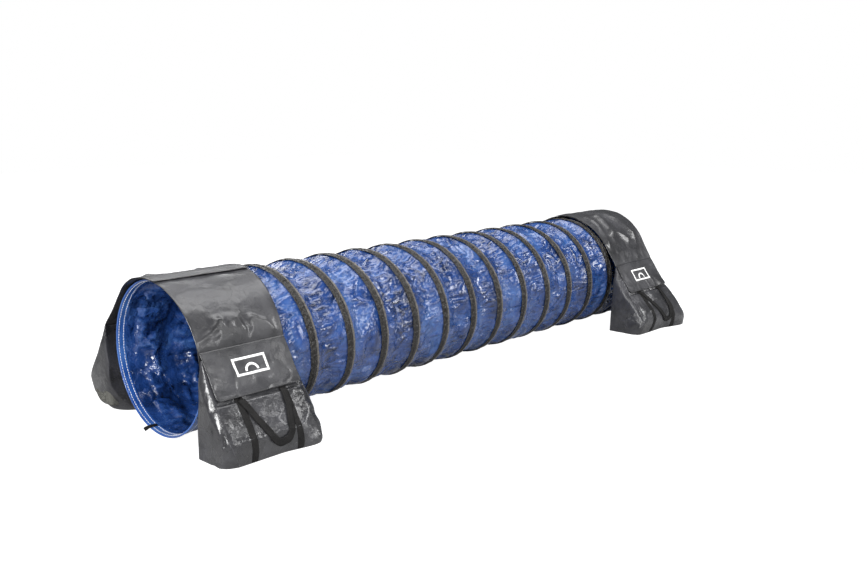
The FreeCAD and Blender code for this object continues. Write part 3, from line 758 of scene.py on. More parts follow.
def tunnel_skin():
    rows, columns = 397, 248
    x = np.linspace(NEAR_X + 0.0015, FAR_X - 0.0015, rows)[:, None]
    x, angle = np.broadcast_arrays(x, ring_angles(columns)[None, :])
    gap = rib_gap(x, angle)
    bay = np.sin(np.clip((gap - TAPE_WIDTH * 0.42) / 0.078, 0, 1) * math.pi / 2)
    held = 1 - step_between(TAPE_WIDTH * 0.40, TAPE_WIDTH * 0.72, gap)
    points = skin_start(x, angle, bay, held)
    in_hem = np.minimum(x - NEAR_X, FAR_X - x).ravel() < HEM_DEPTH
    points[in_hem] = around(x.ravel()[in_hem], angle.ravel()[in_hem], SKIN_IN_HEM)
    low = np.where(in_hem, SKIN_IN_HEM - 0.0002, 0.2982 - 0.052 * bay.ravel())
    high = np.where(in_hem, SKIN_IN_HEM + 0.0002, 0.2998 + 0.0042 * bay.ravel())
    free = np.where(in_hem, 0.0, 1 - 0.55 * held.ravel())

    def rules(now):
        reach = np.hypot(now[:, 1], now[:, 2] - AXIS_Z)
        scale = np.clip(reach, low, high) / reach
        now[:, 1] *= scale
        now[:, 2] = AXIS_Z + (now[:, 2] - AXIS_Z) * scale
        return now

    def weight(now):
        return np.array([0, 0, -0.00003])

    flat = around(x, angle, SKIN_RADIUS)
    excess = (0.045 + 0.025 * noise(flat, 0.09, 4)) * (1 - 0.75 * held)
    kinds = [
        (wrapped_pairs(rows, columns, (1, 0), (0, 1)), 1.0),
        (wrapped_pairs(rows, columns, (1, 1), (1, -1)), 0.55),
        (wrapped_pairs(rows, columns, (2, 0), (0, 2)), 0.10),
    ]
    edges, rest, stiff = cloth_links(flat.reshape(-1, 3), kinds, 1 + excess.ravel())
    points = relax(points, edges, rest, stiff, free, 26, rules, weight)
    quads, corner_rows, corner_columns = grid_quads(rows, columns, True)
    along = corner_rows * (FAR_X - NEAR_X) / rows
    round_way = corner_columns * 2 * math.pi * SKIN_RADIUS / columns
    uv = np.stack([along, round_way], axis=-1)
    piece = build("tunnel_skin", points, quads[:, ::-1], uv[:, ::-1])
    dress(piece, BLUE, "tunnel", "tunnel_fabric")
    squash_with_tunnel(piece)
    flat = (2 * math.pi * SKIN_OUTSIDE, FAR_X - NEAR_X)


def rib_frames(turns):
    """Directions out from the axis and sideways across the helix."""
    angle = rib_angle(turns)
    outward = np.stack([np.zeros_like(angle), -np.sin(angle), np.cos(angle)], axis=-1)
    slope = PITCH / (2 * math.pi * TAPE_INNER)
    round_way = np.stack([np.full_like(angle, slope), -np.cos(angle), -np.sin(angle)], axis=-1)
    sideways = unit(np.cross(unit(round_way), outward))
    return outward, sideways * np.sign(sideways[:, :1])


def rib_tape():
    """The tape's section is in millimetres: flat edges, and a ridge in the middle over the wire."""
    count = 3560
    turns = np.linspace(0, RIB_TURNS, count)
    outward, sideways = rib_frames(turns)
    centre = around(rib_x(turns), rib_angle(turns), TAPE_INNER + 0.0002)
    across = np.array([-21, -19.5, -15, -9, -6, -3.6, -1.6, 0, 1.6, 3.6, 6, 8, 11, 13, 19.5, 21]) / 1000
    lift = np.array([0.3, 0.7, 1.0, 0.9, 0.9, 2.6, 3.9, 4.2, 3.9, 2.6, 0.9, 0.6, 1.4, 1.5, 1.3, 0.6]) / 1000
    edge = step_between(0.006, 0.021, np.abs(across))
    spots = centre[:, None] + sideways[:, None] * across[None, :, None] * 3
    pucker = noise(spots, 0.017, 21) * 0.9 + noise(spots, 0.035, 22) + noise(spots, 0.010, 23) * 0.4
    height = lift[None] + np.maximum(pucker, -0.8) * (0.0006 + 0.0014 * edge[None])
    sway = noise(centre, 0.06, 24)[:, None] * 0.0011
    shrink = 1 + 0.03 * noise(centre, 0.025, 25)[:, None]
    top = centre[:, None] + outward[:, None] * height[..., None]
    top = top + sideways[:, None] * (across[None] * shrink + sway)[..., None]
    bottom = top - outward[:, None] * np.minimum(height, 0.0008)[..., None]
    ring = np.concatenate([top, bottom[:, ::-1]], axis=1)
    sides = ring.shape[1]
    quads, corner_rows, corner_columns = grid_quads(count, sides, True)
    step = RIB_TURNS * 2 * math.pi * TAPE_INNER / count
    sheet_way = np.concatenate([across, across[::-1], across[:1]]) + TAPE_WIDTH / 2
    uv = np.stack([corner_rows * step, sheet_way[corner_columns]], axis=-1)
    ends = [face[::-1] for face in end_faces(count * sides, sides)]
    all_uv = np.concatenate([uv.reshape(-1, 2), np.zeros((2 * sides, 2))])
    piece = build("rib_casing_tape", ring, [*quads, *ends], all_uv)
    dress(piece, TAPE, "tunnel", "rib_tape")
    squash_with_tunnel(piece)


def spring_wire():
    turns = np.linspace(0.004, RIB_TURNS - 0.004, 2600)
    line = around(rib_x(turns), rib_angle(turns), TAPE_INNER + 0.0004 + WIRE_RADIUS)
    points, quads = tube(line, WIRE_RADIUS, 8)
    piece = build("rib_spring_wire", points, [*quads, *end_faces(len(points), 8)])
    dress(piece, STEEL, "tunnel", "spring_wire")
    squash_with_tunnel(piece)


def hem_point(end, depth, angle, radius):
    x = NEAR_X + depth if end == "near" else FAR_X - depth
    return around(x, angle, radius)


def hem_body(end):
    return "tunnel" if end == "near" else "far_end"


def hem_pucker(end, depth, angle):
    """The hem's small quilting: it dips at both rows of stitches and bulges between."""
    spot = hem_point(end, depth, angle, 0.3)
    sewn = sum(dip(depth, row, 0.003) for row in STITCH_ROWS)
    wave = noise(spot, 0.014, 31) * 0.6 + noise(spot, 0.03, 32) * 0.7
    return (0.00045 + 0.0005 * wave) * (1 - sewn * 0.85)


def hem(end):
    """A closed band, folded over the hoop in its bead."""
    columns = 372
    angle = ring_angles(columns)
    turn = np.radians(np.arange(110, -111, -20))
    bead = [(BEAD_RADIUS - BEAD_RADIUS * math.cos(t), BEAD_CENTRE + BEAD_RADIUS * math.sin(t)) for t in turn]
    depths = [0.0375, 0.034, 0.031, 0.029, 0.027, 0.022, 0.017, 0.012, 0.009, 0.0075]
    outside = [(HEM_DEPTH, HEM_OUTSIDE - 0.0004)] + [(depth, HEM_OUTSIDE) for depth in depths]
    inside = [(depth, HEM_INSIDE) for depth in depths[::-1]] + [(HEM_DEPTH, HEM_INSIDE + 0.0004)]
    bulges = [1.0] * len(outside)
    bulges += [0.35 * (radius - BEAD_CENTRE) / BEAD_RADIUS for _, radius in bead]
    bulges += [-1.0] * len(inside)
    rows = []
    for (depth, radius), bulge in zip(outside + bead + inside, bulges):
        rows.append(hem_point(end, depth, angle, radius + bulge * hem_pucker(end, depth, angle)))
    quads = grid_quads(len(rows) + 1, columns, True)[0] % (len(rows) * columns)
    if end == "far":
        quads = quads[:, ::-1]
    piece = build(end + "_rim", np.stack(rows), quads)
    dress(piece, HEM_BLUE, hem_body(end), end + "_hem")


def stitch_row(end, depth, radius, outward):
    """One row of stitches, as short rounded lengths of thread that lie on the hem."""
    count = int(round(2 * math.pi * SKIN_RADIUS / STITCH_PITCH))
    share = np.linspace(-0.5, 0.5, 6)
    arch = 0.0003 * (1 - (2 * share) ** 2)
    fat = STITCH_RADIUS * np.sqrt(np.clip(1.02 - (2 * share) ** 2, 0.05, 1))
    parts = []
    for k in range(count):
        angle = (k + share * STITCH_LENGTH / STITCH_PITCH) / count * 2 * math.pi
        lift = hem_pucker(end, depth, angle) + arch + 0.0001
        wander = 0.0004 * math.sin(k * 1.7)
        parts.append(tube(hem_point(end, depth + wander, angle, radius + outward * lift), fat, 6))
    return joined(parts)


def hem_stitching(end):
    faces = ((HEM_INSIDE, -1), (HEM_OUTSIDE, 1))
    rows = [stitch_row(end, depth, radius, outward) for depth in STITCH_ROWS for radius, outward in faces]
    piece = build(end + "_rim_stitches", *joined(rows))
    dress(piece, WHITE_THREAD, hem_body(end), end + "_hem_stitching")


def closing_strap():
    """A short tab, sewn inside the near hem, whose loose end hangs out of the mouth."""
    low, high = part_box("strap_sewn_end")
    middle = (np.array(low) + np.array(high)) / 2
    angle = math.atan2(-middle[1], middle[2] - AXIS_Z)
    outward = np.array([0, -math.sin(angle), math.cos(angle)])
    sideways = np.array([0, math.cos(angle), math.sin(angle)])
    reach = NEAR_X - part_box("closing_strap")[0][0]
    sewn = HEM_INSIDE - 0.0026
    path = [
        (0.031, sewn + 0.0016),
        (0.022, sewn),
        (0.012, sewn - 0.0006),
        (0.003, sewn - 0.0002),
        (-0.004, sewn + 0.0006),
        (-reach * 0.55, sewn + 0.0035),
        (-reach * 0.95, sewn + 0.0078),
    ]
    depth, radius = resampled(path, 0.002, 6).T[..., None, None]
    across = np.linspace(-0.5, 0.5, 7)[None, :, None] * STRAP_WIDTH
    roll = 0.35 * step_between(0.0, -0.02, depth)
    centre = np.array([NEAR_X, 0, AXIS_Z]) + depth * np.array([1, 0, 0]) + radius * outward
    points = centre + across * sideways + roll * across * outward
    piece = build("mouth_closing_strap", *shell(points, STRAP_THICK, (0.002, STRAP_WIDTH / 6), outward))
    piece.data.materials.append(BLACK)
    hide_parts("strap_sewn_end", "closing_strap")
    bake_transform(piece)


# ---------------------------------------------------------------- saddles


class Side:
    """One side of a saddle, in its own frame: along its width, out from the tunnel, and up."""

    def __init__(self, name):
        self.name = name
        end, face = name.split("_")
        self.saddle = end + "_saddle"
        self.front = face == "front"
        self.fit = FITS[name]
        self.size = SIDES[self.fit]
        low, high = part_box(name + "_cover")
        self.middle = (low[0] + high[0]) / 2
        self.turn = -1.0 if self.front else 1.0
        angle = math.radians(self.size["flap_angle"])
        self.down = np.array([math.cos(angle), -math.sin(angle)])
        self.normal = np.array([math.sin(angle), math.cos(angle)])
        self.seed = 40 + 7 * list(FITS).index(name)

    def place(self, along, out, up):
        """Points of the shared frame from the side's own."""
        along, out, up = np.broadcast_arrays(along, out, up)
        return np.stack([self.middle + self.turn * along, self.turn * out, up], axis=-1)

    def own(self, point):
        """The side's own coordinates of a point of the shared frame."""
        return self.turn * (point[0] - self.middle), self.turn * point[1], point[2]

    def way(self, out, up):
        """A direction of the shared frame from the side's own."""
        return np.array([0.0, self.turn * out, up])

    def on_flap(self, down, out):
        """(out, up) of a point that far down the flap's plane and out from it."""
        hinge_out, hinge_up = self.size["hinge"]
        return (
            hinge_out + self.down[0] * down + self.normal[0] * out,
            hinge_up + self.down[1] * down + self.normal[1] * out,
        )

    def above_flap(self, points):
        """How far out of the flap's plane each of the side's own points is."""
        return (points[:, 1:] - self.size["hinge"]) @ self.normal


def cover_path(side):
    """The cover's section from its top edge to its sewn end, as (out, up) points."""
    if side.fit == "snug":
        turn = np.radians(np.linspace(-COVER_START, 90, 60))[:, None]
        return SNUG_RADIUS * np.hstack([np.sin(turn), np.cos(turn)]) + (0, AXIS_Z)
    turn = np.radians(np.linspace(-WIDE_START, side.size["tangent"], 40))[:, None]
    arc = WIDE_RADIUS * np.hstack([np.sin(turn), np.cos(turn)]) + (0, AXIS_Z)
    ahead = np.array([math.cos(turn[-1, 0]), -math.sin(turn[-1, 0])])
    skirt = arc[-1] + np.linspace(0.01, side.size["skirt"] - 0.006, 20)[:, None] * ahead
    tail = [side.on_flap(down, -0.0006) for down in (0.006, 0.012, 0.024)]
    return np.concatenate([arc, skirt, tail])


def cover_section(side, s):
    """(out, up) and the outward normal of the cover, s metres down from its top edge."""
    line = resampled(cover_path(side), 0.002, 4)
    along = distances(line)
    way = unit(np.gradient(line, axis=0))
    out, up = (np.interp(s, along, line[:, k]) for k in range(2))
    normal = np.stack([np.interp(s, along, -way[:, 1]), np.interp(s, along, way[:, 0])], axis=-1)
    return out, up, normal


def cover_length(side):
    return float(distances(cover_path(side))[-1])


def seam_at(side):
    """How far down the cover its flap's hinge is."""
    if side.fit != "snug":
        return cover_length(side) - 0.026
    hinge_out, hinge_up = side.size["hinge"]
    return SNUG_RADIUS * (math.atan2(hinge_out, hinge_up - AXIS_Z) + math.radians(COVER_START))


def seam_sag(side, flat, spots):
    """The near front cover hangs slack above its seam, with folds across the slack part."""
    seam = seam_at(side)
    across = flat[:, 0] + 0.012 * noise(spots, 0.07, 50)
    down = flat[:, 1] + 0.010 * noise(spots, 0.06, 51)
    top = seam - 0.082 - 0.20 * (across + 0.139)
    sag = step_between(-0.180, -0.130, across) * (1 - step_between(0.075, 0.130, across))
    sag = sag * step_between(top - 0.020, top + 0.022, down)
    from_seam = flat - (0, seam)
    return folds(from_seam, SEAM_FOLDS) + (0.009 + folds(from_seam, SAG_FOLDS)) * sag


def cover_folds(side, along, s):
    """How far the cover stands off its smooth shape: listed folds, then small ones."""
    flat = np.stack([along.ravel(), s.ravel()], axis=1)
    spots = side.place(along, s, s * 0.4).reshape(-1, 3)
    lift = folds(flat, COVER_FOLDS[side.name])
    if side.name == "near_front":
        lift += seam_sag(side, flat, spots)
    rough = noise(spots, 0.13, side.seed) * 0.0035 + noise(spots, 0.06, side.seed + 1) * 0.0022
    crisp = ridges(spots, 0.075, side.seed + 2) ** 3 * 0.0016
    slack = SLACKNESS[side.fit]
    lift += np.maximum(rough * slack + 0.001, 0) + crisp * slack * 0.6
    return lift.reshape(along.shape)


def cover_calm(side, s, edge):
    """How free the cover is to fold: 0 where it laps, near its seam, and less at its edges."""
    overlap = 0.135 if side.fit == "snug" else 0.115
    calm = step_between(overlap, overlap + 0.05, s)
    if side.fit == "snug":
        seam = seam_at(side)
        calm = calm * (1 - step_between(seam - 0.014, seam - 0.002, s))
    else:
        length = cover_length(side)
        calm = calm * (1 - step_between(length - 0.045, length - 0.024, s))
    return calm * (0.35 + 0.65 * step_between(0.0, 0.05, edge))


def cover_hem(side, along, s, edge):
    """The height of the cover's turned and stitched edges, which end at the seam."""
    spots = side.place(along, s, 0)
    hem_line = np.minimum(edge, s)
    hem_fold = 0.0011 * (1 - step_between(0.019, 0.0205, hem_line))
    pucker = 0.0006 * noise(spots, 0.012, side.seed + 3) * (1 - step_between(0.015, 0.026, hem_line))
    height = hem_fold - 0.0007 * dip(hem_line, 0.0165, 0.0016) + np.maximum(pucker, -0.0003)
    height = np.where(s > seam_at(side) - 0.002, 0, height)
    if side.fit != "snug":
        height = height + 0.0028 * (1 - step_between(0.0, 0.022, s)) * (1 + 0.6 * noise(spots, 0.05, 9))
    return height


def cover(side):
    step = 0.0055
    length = cover_length(side)
    along = np.linspace(-SADDLE_WIDTH / 2, SADDLE_WIDTH / 2, int(SADDLE_WIDTH / step) + 1)
    s = np.linspace(0, length, int(length / step) + 1)
    along, s = np.meshgrid(along, s, indexing="ij")
    edge = np.minimum(along + SADDLE_WIDTH / 2, SADDLE_WIDTH / 2 - along)
    end_narrowed = 0.145 if side.name == "near_back" else 0.095
    narrowed = 1 - np.where(along < 0, end_narrowed, 0.095) * step_between(0.12, seam_at(side), s)
    room = 0.14 if side.fit == "snug" else 0.25
    tallest = 0.0006 + room * np.maximum(seam_at(side) - s, 0)
    lift = np.minimum(cover_folds(side, along, s) * cover_calm(side, s, edge), tallest)
    lift = lift + cover_hem(side, along, s, edge)
    out, up, normal = cover_section(side, s)
    points = side.place(along * narrowed, out + normal[..., 0] * lift, up + normal[..., 1] * lift)
    parts = shell(points, CLOTH_THICK, (step, step), side.way(*normal[10, 10]), 10, 10)
    piece = build(side.name + "_saddle_cover", *parts)
    dress(piece, GREY, side.saddle, side.name + "_cover")


def pouch_outline(side):
    """(out, up) corners of the pouch's section, as on the frame's own pouch."""
    size = side.size
    slope_start = (size["inner_top"] - size["hinge"][0] + FLAP_GAP * side.normal[0]) / side.down[0]
    return [
        (size["inner_foot"], FLOOR_GAP),
        side.on_flap(slope_start, -FLAP_GAP),
        side.on_flap(size["flap_length"], -FLAP_GAP),
        size["shoulder"],
        size["belly"],
        (size["front_foot"], FLOOR_GAP),
    ]


def front_out(side, up):
    """How far out the pouch's front is at that height."""
    outline = sorted(pouch_outline(side)[2:], key=lambda corner: corner[1])
    return np.interp(up, [corner[1] for corner in outline], [corner[0] for corner in outline])


def eased_outline(side):
    """The pouch's section with its shoulder and belly rounded off."""
    line = [np.array(corner) for corner in pouch_outline(side)]
    for _ in range(3):
        cut = line[:3]
        for before, corner, after in zip(line[2:-2], line[3:-1], line[4:]):
            cut += [corner + (before - corner) * 0.34, corner + (after - corner) * 0.34]
        line = cut + line[-1:]
    return line


def even_bag(name, outline, half, voxel):
    """A closed block with that section, remade with small even faces."""
    count = len(outline)
    points = [(end, out, up) for end in (-half, half) for out, up in outline]
    faces = [list(range(count))[::-1], list(range(count, 2 * count))]
    for k in range(count):
        after = (k + 1) % count
        faces.append([k, after, after + count, k + count])
    piece = build(name, np.array(points), faces)
    remesh = piece.modifiers.new("Remesh", "REMESH")
    remesh.mode = "VOXEL"
    remesh.voxel_size = voxel
    remesh.use_smooth_shade = True
    apply_modifiers(piece)
    return piece


def set_points(side, piece, points):
    """Moves the points of a side's mesh to those of the side's own frame."""
    piece.data.vertices.foreach_set("co", side.place(*points.T).ravel())
    piece.data.update()


def pouch_seams(side):
    """The pouch's sewn edges, as lines in the side's own frame."""
    outline = pouch_outline(side)
    half = POUCH_WIDTH / 2
    lines = [[(-half, *outline[-1]), (half, *outline[-1])]]
    for end in (-half, half):
        for corners in (outline[2:], (outline[0], outline[-1]), outline[1:3]):
            lines.append([(end, out, up) for out, up in corners])
    return lines


def rounded(along, out, sign, side_edge, edge, facing, radius):
    """Draws points beyond a corner's round onto it. The corner faces sign along and facing out."""
    across = sign * along - (side_edge - radius)
    ahead = facing * (out - edge) + radius
    corner = (across > 0) & (ahead > 0)
    far = np.sqrt(across**2 + ahead**2) + 1e-9
    pull = np.where(corner & (far > radius), radius / far, 1.0)
    along = np.where(corner, sign * (side_edge - radius + across * pull), along)
    return along, np.where(corner, edge + facing * (ahead * pull - radius), out)


def tapered(side, points):
    """The pouch's own outline in plan: narrower at the top, with its foot's corners worn round."""
    level = points[:, 2]
    share = np.interp(level, [0.0, 0.08, 0.235, 0.38], [1.0, 0.985, 0.915, 0.895])
    kept = np.interp(level, [0.0, 0.03, 0.084, 0.17, 0.36], END_KEPT.get(side.name, [1] * 5))
    share = np.where(points[:, 0] < 0, share * kept, share)
    along = points[:, 0] * share
    out = points[:, 1].copy()
    spread = FOOT_SPREAD.get(side.name, 0.0) * np.clip(1 - level / 0.09, 0, 1)
    out += spread * step_between(0.02, 0.19, -along) * step_between(0.40, 0.46, out)
    if side.name == "near_front":
        sunk = step_between(0.01, 0.05, level) * (1 - step_between(0.13, 0.22, level))
        out -= 0.012 * sunk * step_between(0.10, 0.20, -along) * step_between(0.38, 0.44, out)
    side_edge = POUCH_WIDTH / 2 * share
    low = 1 - step_between(0.03, 0.20, level)
    for sign, worn in zip((1, -1), FOOT_ROUND[side.name]):
        if worn > 0.01:
            along, out = rounded(along, out, sign, side_edge, front_out(side, level), 1, 0.007 + worn * low)
        back_share = 1.5 if side.name == "near_back" and sign < 0 else 0.5
        radius = 0.007 + back_share * worn * low
        along, out = rounded(along, out, sign, side_edge, side.size["inner_foot"], -1, radius)
    return np.stack([along, out, level], axis=1)


def pouch(side):
    size = side.size
    half = POUCH_WIDTH / 2
    piece = even_bag(side.name + "_pouch_bag", eased_outline(side), half - 0.001, 0.006)
    block, edges, quads = mesh_arrays(piece)
    seam = np.min([line_distance(block, line) for line in pouch_seams(side)], axis=0)
    start = tapered(side, block)
    near_seam = np.exp(-((seam / 0.009) ** 2))
    under_flap = step_between(-UNDER_FLAP, -UNDER_FLAP / 2, side.above_flap(start))
    free = 1 - 0.75 * near_seam - 0.5 * under_flap * (1 - near_seam)
    normals = point_normals(start, quads)
    swell = facets(start, 0.100, side.seed + 12) * 0.018 + facets(start, 0.050, side.seed + 13) * 0.008
    upright = facets(start * (1.0, 1.7, 0.6), 0.080, side.seed + 14) * 0.020
    swell += upright * step_between(0.6, 0.9, np.abs(normals[:, 0]))
    if side.name == "near_back":
        swell += folds(start[:, 1:], GUSSET_FOLDS) * step_between(0.5, 0.8, -normals[:, 0])
    points = start + normals * (swell * (0.3 + 0.7 * free) * (1 - 0.8 * under_flap))[:, None]
    lean = (size["inner_top"] - size["inner_foot"]) / 0.37

    def rules(now):
        """The cloth stays near its block, off the tunnel and the floor, and under the flap."""
        moved = now - start
        far = np.sqrt((moved**2).sum(axis=1))
        now = start + moved * np.minimum(1, POUCH_GIVE / np.maximum(far, 1e-9))[:, None]
        now[:, 0] = np.clip(now[:, 0], -half - 0.004, half + 0.004)
        now[:, 1] = np.maximum(now[:, 1], size["inner_foot"] + 0.0002 + lean * now[:, 2])
        now[:, 2] = np.maximum(now[:, 2], FLOOR_GAP)
        above = np.maximum(side.above_flap(now) + FLAP_GAP + 0.0002, 0)
        over = np.where(now[:, 1] < side.on_flap(size["flap_length"] + 0.01, 0)[0], above, 0)
        now[:, 1:] -= over[:, None] * side.normal
        return now

    def push(now):
        """The sand presses out, most of all low down."""
        force = point_normals(now, quads) * 0.00042
        force *= (0.6 + 1.2 * (1 - step_between(0.02, 0.24, now[:, 2])))[:, None]
        force[:, 2] -= 0.00022
        return force

    excess = 1.05 + 0.03 * noise(start + side.seed, 0.10, side.seed + 11) - 0.016 * under_flap
    kinds = [(edges, 1.0), (quads[:, [0, 2]], 0.6), (quads[:, [1, 3]], 0.6)]
    links = cloth_links(start, kinds, excess)
    points = relax(points, *links, free, 40, rules, push)
    points = rules(points)
    set_points(side, piece, points)
    cloth = BVHTree.FromPolygons(side.place(*points.T).tolist(), quads.tolist())
    cut_mouth(side, piece, points[quads].mean(axis=1))
    piping(side, piece, start, points)
    dress(piece, POUCH_GREY, side.saddle, side.name + "_pouch")
    return cloth


def cut_mouth(side, piece, centres):
    """Opens the pouch's mouth under its flap, and gives the cloth its thickness."""
    down = (centres[:, 1:] - side.size["hinge"]) @ side.down
    first = side.size["flap_length"] * 0.2
    gone = (side.above_flap(centres) > -UNDER_FLAP) & (np.abs(centres[:, 0]) < MOUTH_WIDTH / 2)
    gone &= (down > first) & (down < first + MOUTH_DEPTH)
    edit = bmesh.new()
    edit.from_mesh(piece.data)
    edit.faces.ensure_lookup_table()
    bmesh.ops.delete(edit, geom=[edit.faces[i] for i in np.flatnonzero(gone)], context="FACES")
    edit.to_mesh(piece.data)
    edit.free()
    skin = piece.modifiers.new("Cloth", "SOLIDIFY")
    skin.thickness = CLOTH_THICK
    skin.offset = -1
    apply_modifiers(piece)
    piece.data.polygons.foreach_set("use_smooth", np.ones(len(piece.data.polygons), bool))


def piping(side, piece, start, points):
    """Adds the welt that is sewn into the pouch's front seams to the pouch's mesh."""
    half = POUCH_WIDTH / 2 - 0.001
    finder = KDTree(len(start))
    for i, point in enumerate(start):
        finder.insert(point, i)
    finder.balance()
    edit = bmesh.new()
    edit.from_mesh(piece.data)
    for sign in (-1, 1):
        shares = SEAM_SHARE if side.name == "near_front" and sign > 0 else (1, 1, 1, 1)
        corners = zip(shares, pouch_outline(side)[2:])
        run = resampled([(sign * half * share, out, up) for share, (out, up) in corners], 0.006)
        found = eased(np.array([points[finder.find(point)[1]] for point in tapered(side, run)]), 3)
        found += unit(found - (0, found[:, 1].mean(), POUCH_HEART)) * 0.0008
        found[:, 2] = np.maximum(found[:, 2], 0.0026)
        ring, quads = tube(side.place(*found.T), PIPING_RADIUS, 8)
        verts = [edit.verts.new(point) for point in ring]
        for face in [*quads, *end_faces(len(ring), 8)]:
            edit.faces.new([verts[k] for k in face]).smooth = True
    edit.to_mesh(piece.data)
    edit.free()


def sandbag(side):
    outline = np.array(pouch_outline(side))
    middle = outline.mean(axis=0)
    shrunk = middle + (outline - middle) * 0.84
    piece = even_bag(side.name + "_filled_sandbag", shrunk, POUCH_WIDTH / 2 - 0.022, 0.012)
    points, edges, quads = mesh_arrays(piece)
    first, second = edges.T
    degree = np.bincount(edges.ravel(), minlength=len(points))[:, None]
    for _ in range(4):
        total = summed(first, points[second], len(points)) + summed(second, points[first], len(points))
        points = 0.5 * points + 0.5 * total / degree
    lump = noise(points, 0.07, side.seed + 20) * 0.004 - 0.002
    lump -= ridges(points, 0.05, side.seed + 21) ** 4 * 0.002
    points = points + point_normals(points, quads) * lump[:, None]
    points[:, 2] = np.maximum(points[:, 2], 0.006)
    set_points(side, piece, points)
    dress(piece, CANVAS, side.saddle, side.name + "_sandbag")


def flap_height(side, along, down):
    """How far the flap's outer face stands off its own plane."""
    length = side.size["flap_length"]
    spots = side.place(along, down, 0.1 * side.seed)
    wave = noise(spots, 0.10, side.seed + 30) * 0.0038 + noise(spots, 0.045, side.seed + 31) * 0.0016
    wave += ridges(spots, 0.09, side.seed + 32) ** 4 * 0.0026
    edge = np.minimum(FLAP_WIDTH / 2 - np.abs(along), length - down)
    hem_fold = 0.0009 * (1 - step_between(0.013, 0.0145, edge)) - 0.0006 * dip(edge, 0.011, 0.0013)
    top_band = 0.0006 * (1 - step_between(0.010, 0.0115, down)) - 0.0009 * dip(down, 0.0085, 0.0012)
    height = 0.0016 + np.maximum(wave, -0.0004) * (0.3 + 0.7 * step_between(0.03, 0.12, down))
    height += hem_fold + top_band
    height += 0.0032 * step_between(length - 0.045, length, down) * (1 + 0.7 * noise(spots, 0.13, 10))
    if side.name == "near_front":
        pulled = [
            (0.0022, 0.016, [(0.16, 0.055), (0.08, 0.10), (0.02, 0.135)]),
            (0.0018, 0.012, [(0.17, 0.10), (0.10, 0.14)]),
        ]
        flat = np.stack([along.ravel(), down.ravel()], axis=1)
        height += folds(flat, pulled).reshape(height.shape)
    return height * (0.3 + 0.7 * step_between(0.0, 0.016, down))


def flap_point(side, along, down, extra=0.0):
    out, up = side.on_flap(down, flap_height(side, along, down) + extra)
    return side.place(along, out, up)


def flap(side):
    length = side.size["flap_length"]
    step = 0.0048
    across = np.linspace(-1, 1, int(FLAP_WIDTH / step) + 1)
    down = np.linspace(-0.0005, length, int(length / step) + 1)
    across, down = np.meshgrid(across, down, indexing="ij")
    short = np.clip(down - (length - FLAP_CORNER), 0, FLAP_CORNER)
    half = FLAP_WIDTH / 2 - FLAP_CORNER + np.sqrt(np.maximum(FLAP_CORNER**2 - short**2, 0))
    if side.name == "near_back":
        half = np.where(across < 0, half * 0.94, half)
    edge_wave = 0.0012 * noise(side.place(across * 0.2, down, 0), 0.05, side.seed + 33)
    points = flap_point(side, across * (half + edge_wave), down)
    parts = shell(points, FLAP_THICK, (step, step), side.way(*side.normal), 5, 5)
    piece = build(side.name + "_pouch_flap", *parts)
    dress(piece, GREY, side.name + "_flap", side.name + "_flap")


def printed_line(side, line, wide):
    """A printed line on the flap: a thin closed strip along points of (along, down)."""
    path = resampled(line, 0.003)
    way = unit(np.gradient(path, axis=0))
    across = np.stack([-way[:, 1], way[:, 0]], axis=1)
    flat = path[:, None] + across[:, None] * (np.linspace(-0.5, 0.5, 4) * wide)[None, :, None]
    points = flap_point(side, flat[..., 0], flat[..., 1], 0.0003)
    return shell(points, 0.00045, (0.003, wide / 3), side.way(*side.normal))


def emblem(side):
    """A generic mark: a plain frame round an arch."""
    wide, tall, line, top = 0.146, 0.070, 0.009, 0.048
    middle = line / 2
    left, right = -wide / 2 + middle, wide / 2 - middle
    high, low = top + middle, top + tall - middle
    lines = [[(left - middle, down), (right + middle, down)] for down in (high, low)]
    lines += [[(along, high + middle), (along, low - middle)] for along in (left, right)]
    radius = tall * 0.42 - middle
    foot = top + tall - line * 1.6
    turn = np.linspace(0, math.pi, 24)
    lines.append(np.stack([radius * np.cos(turn), foot - radius * np.sin(turn)], axis=1))
    piece = build(side.name + "_printed_mark", *joined([printed_line(side, run, line) for run in lines]))
    dress(piece, INK, side.name + "_flap", side.name + "_emblem")


def ribbon(side, cloth, path, wide, thick, standoff, smooth):
    """Webbing laid over the pouch: its path is in (along, out, up) and is cast onto the cloth."""
    spacing = 0.004
    line = resampled(path, spacing, smooth)
    heart_out = (side.size["inner_foot"] + side.size["front_foot"]) / 2
    away = unit((line - (0, heart_out, POUCH_HEART)) * (0, 1, 1))
    away[line[:, 2] < 0.004] = (0, 0, -1)
    for _ in range(6):
        away = unit(eased(away, 1))
    across = unit(np.cross(unit(np.gradient(line, axis=0)), away))
    grid = line[:, None] + across[:, None] * (np.linspace(-0.5, 0.5, 6) * wide)[None, :, None]
    depth = np.zeros(grid.shape[:2])
    for row, column in np.ndindex(depth.shape):
        point, ray = grid[row, column], away[row]
        origin = side.place(*(point + ray * 0.08))
        hit = cloth.ray_cast(Vector(origin), Vector(-side.way(*ray[1:])), 0.16)[0]
        if hit is not None:
            depth[row, column] = (side.own(hit) - point) @ ray
    level = depth
    for _ in range(5):
        level = eased(eased(level, 1).T, 1).T
    level = eased(np.maximum(level, depth), 2)
    grid = grid + away[:, None] * (level + standoff + thick)[..., None]
    grid[..., 2] = np.maximum(grid[..., 2], 0.0001)
    points = side.place(grid[..., 0], grid[..., 1], grid[..., 2])
    row = len(line) // 4
    return shell(points, thick, (spacing, wide / 5), side.way(*away[row][1:]), row, 2)


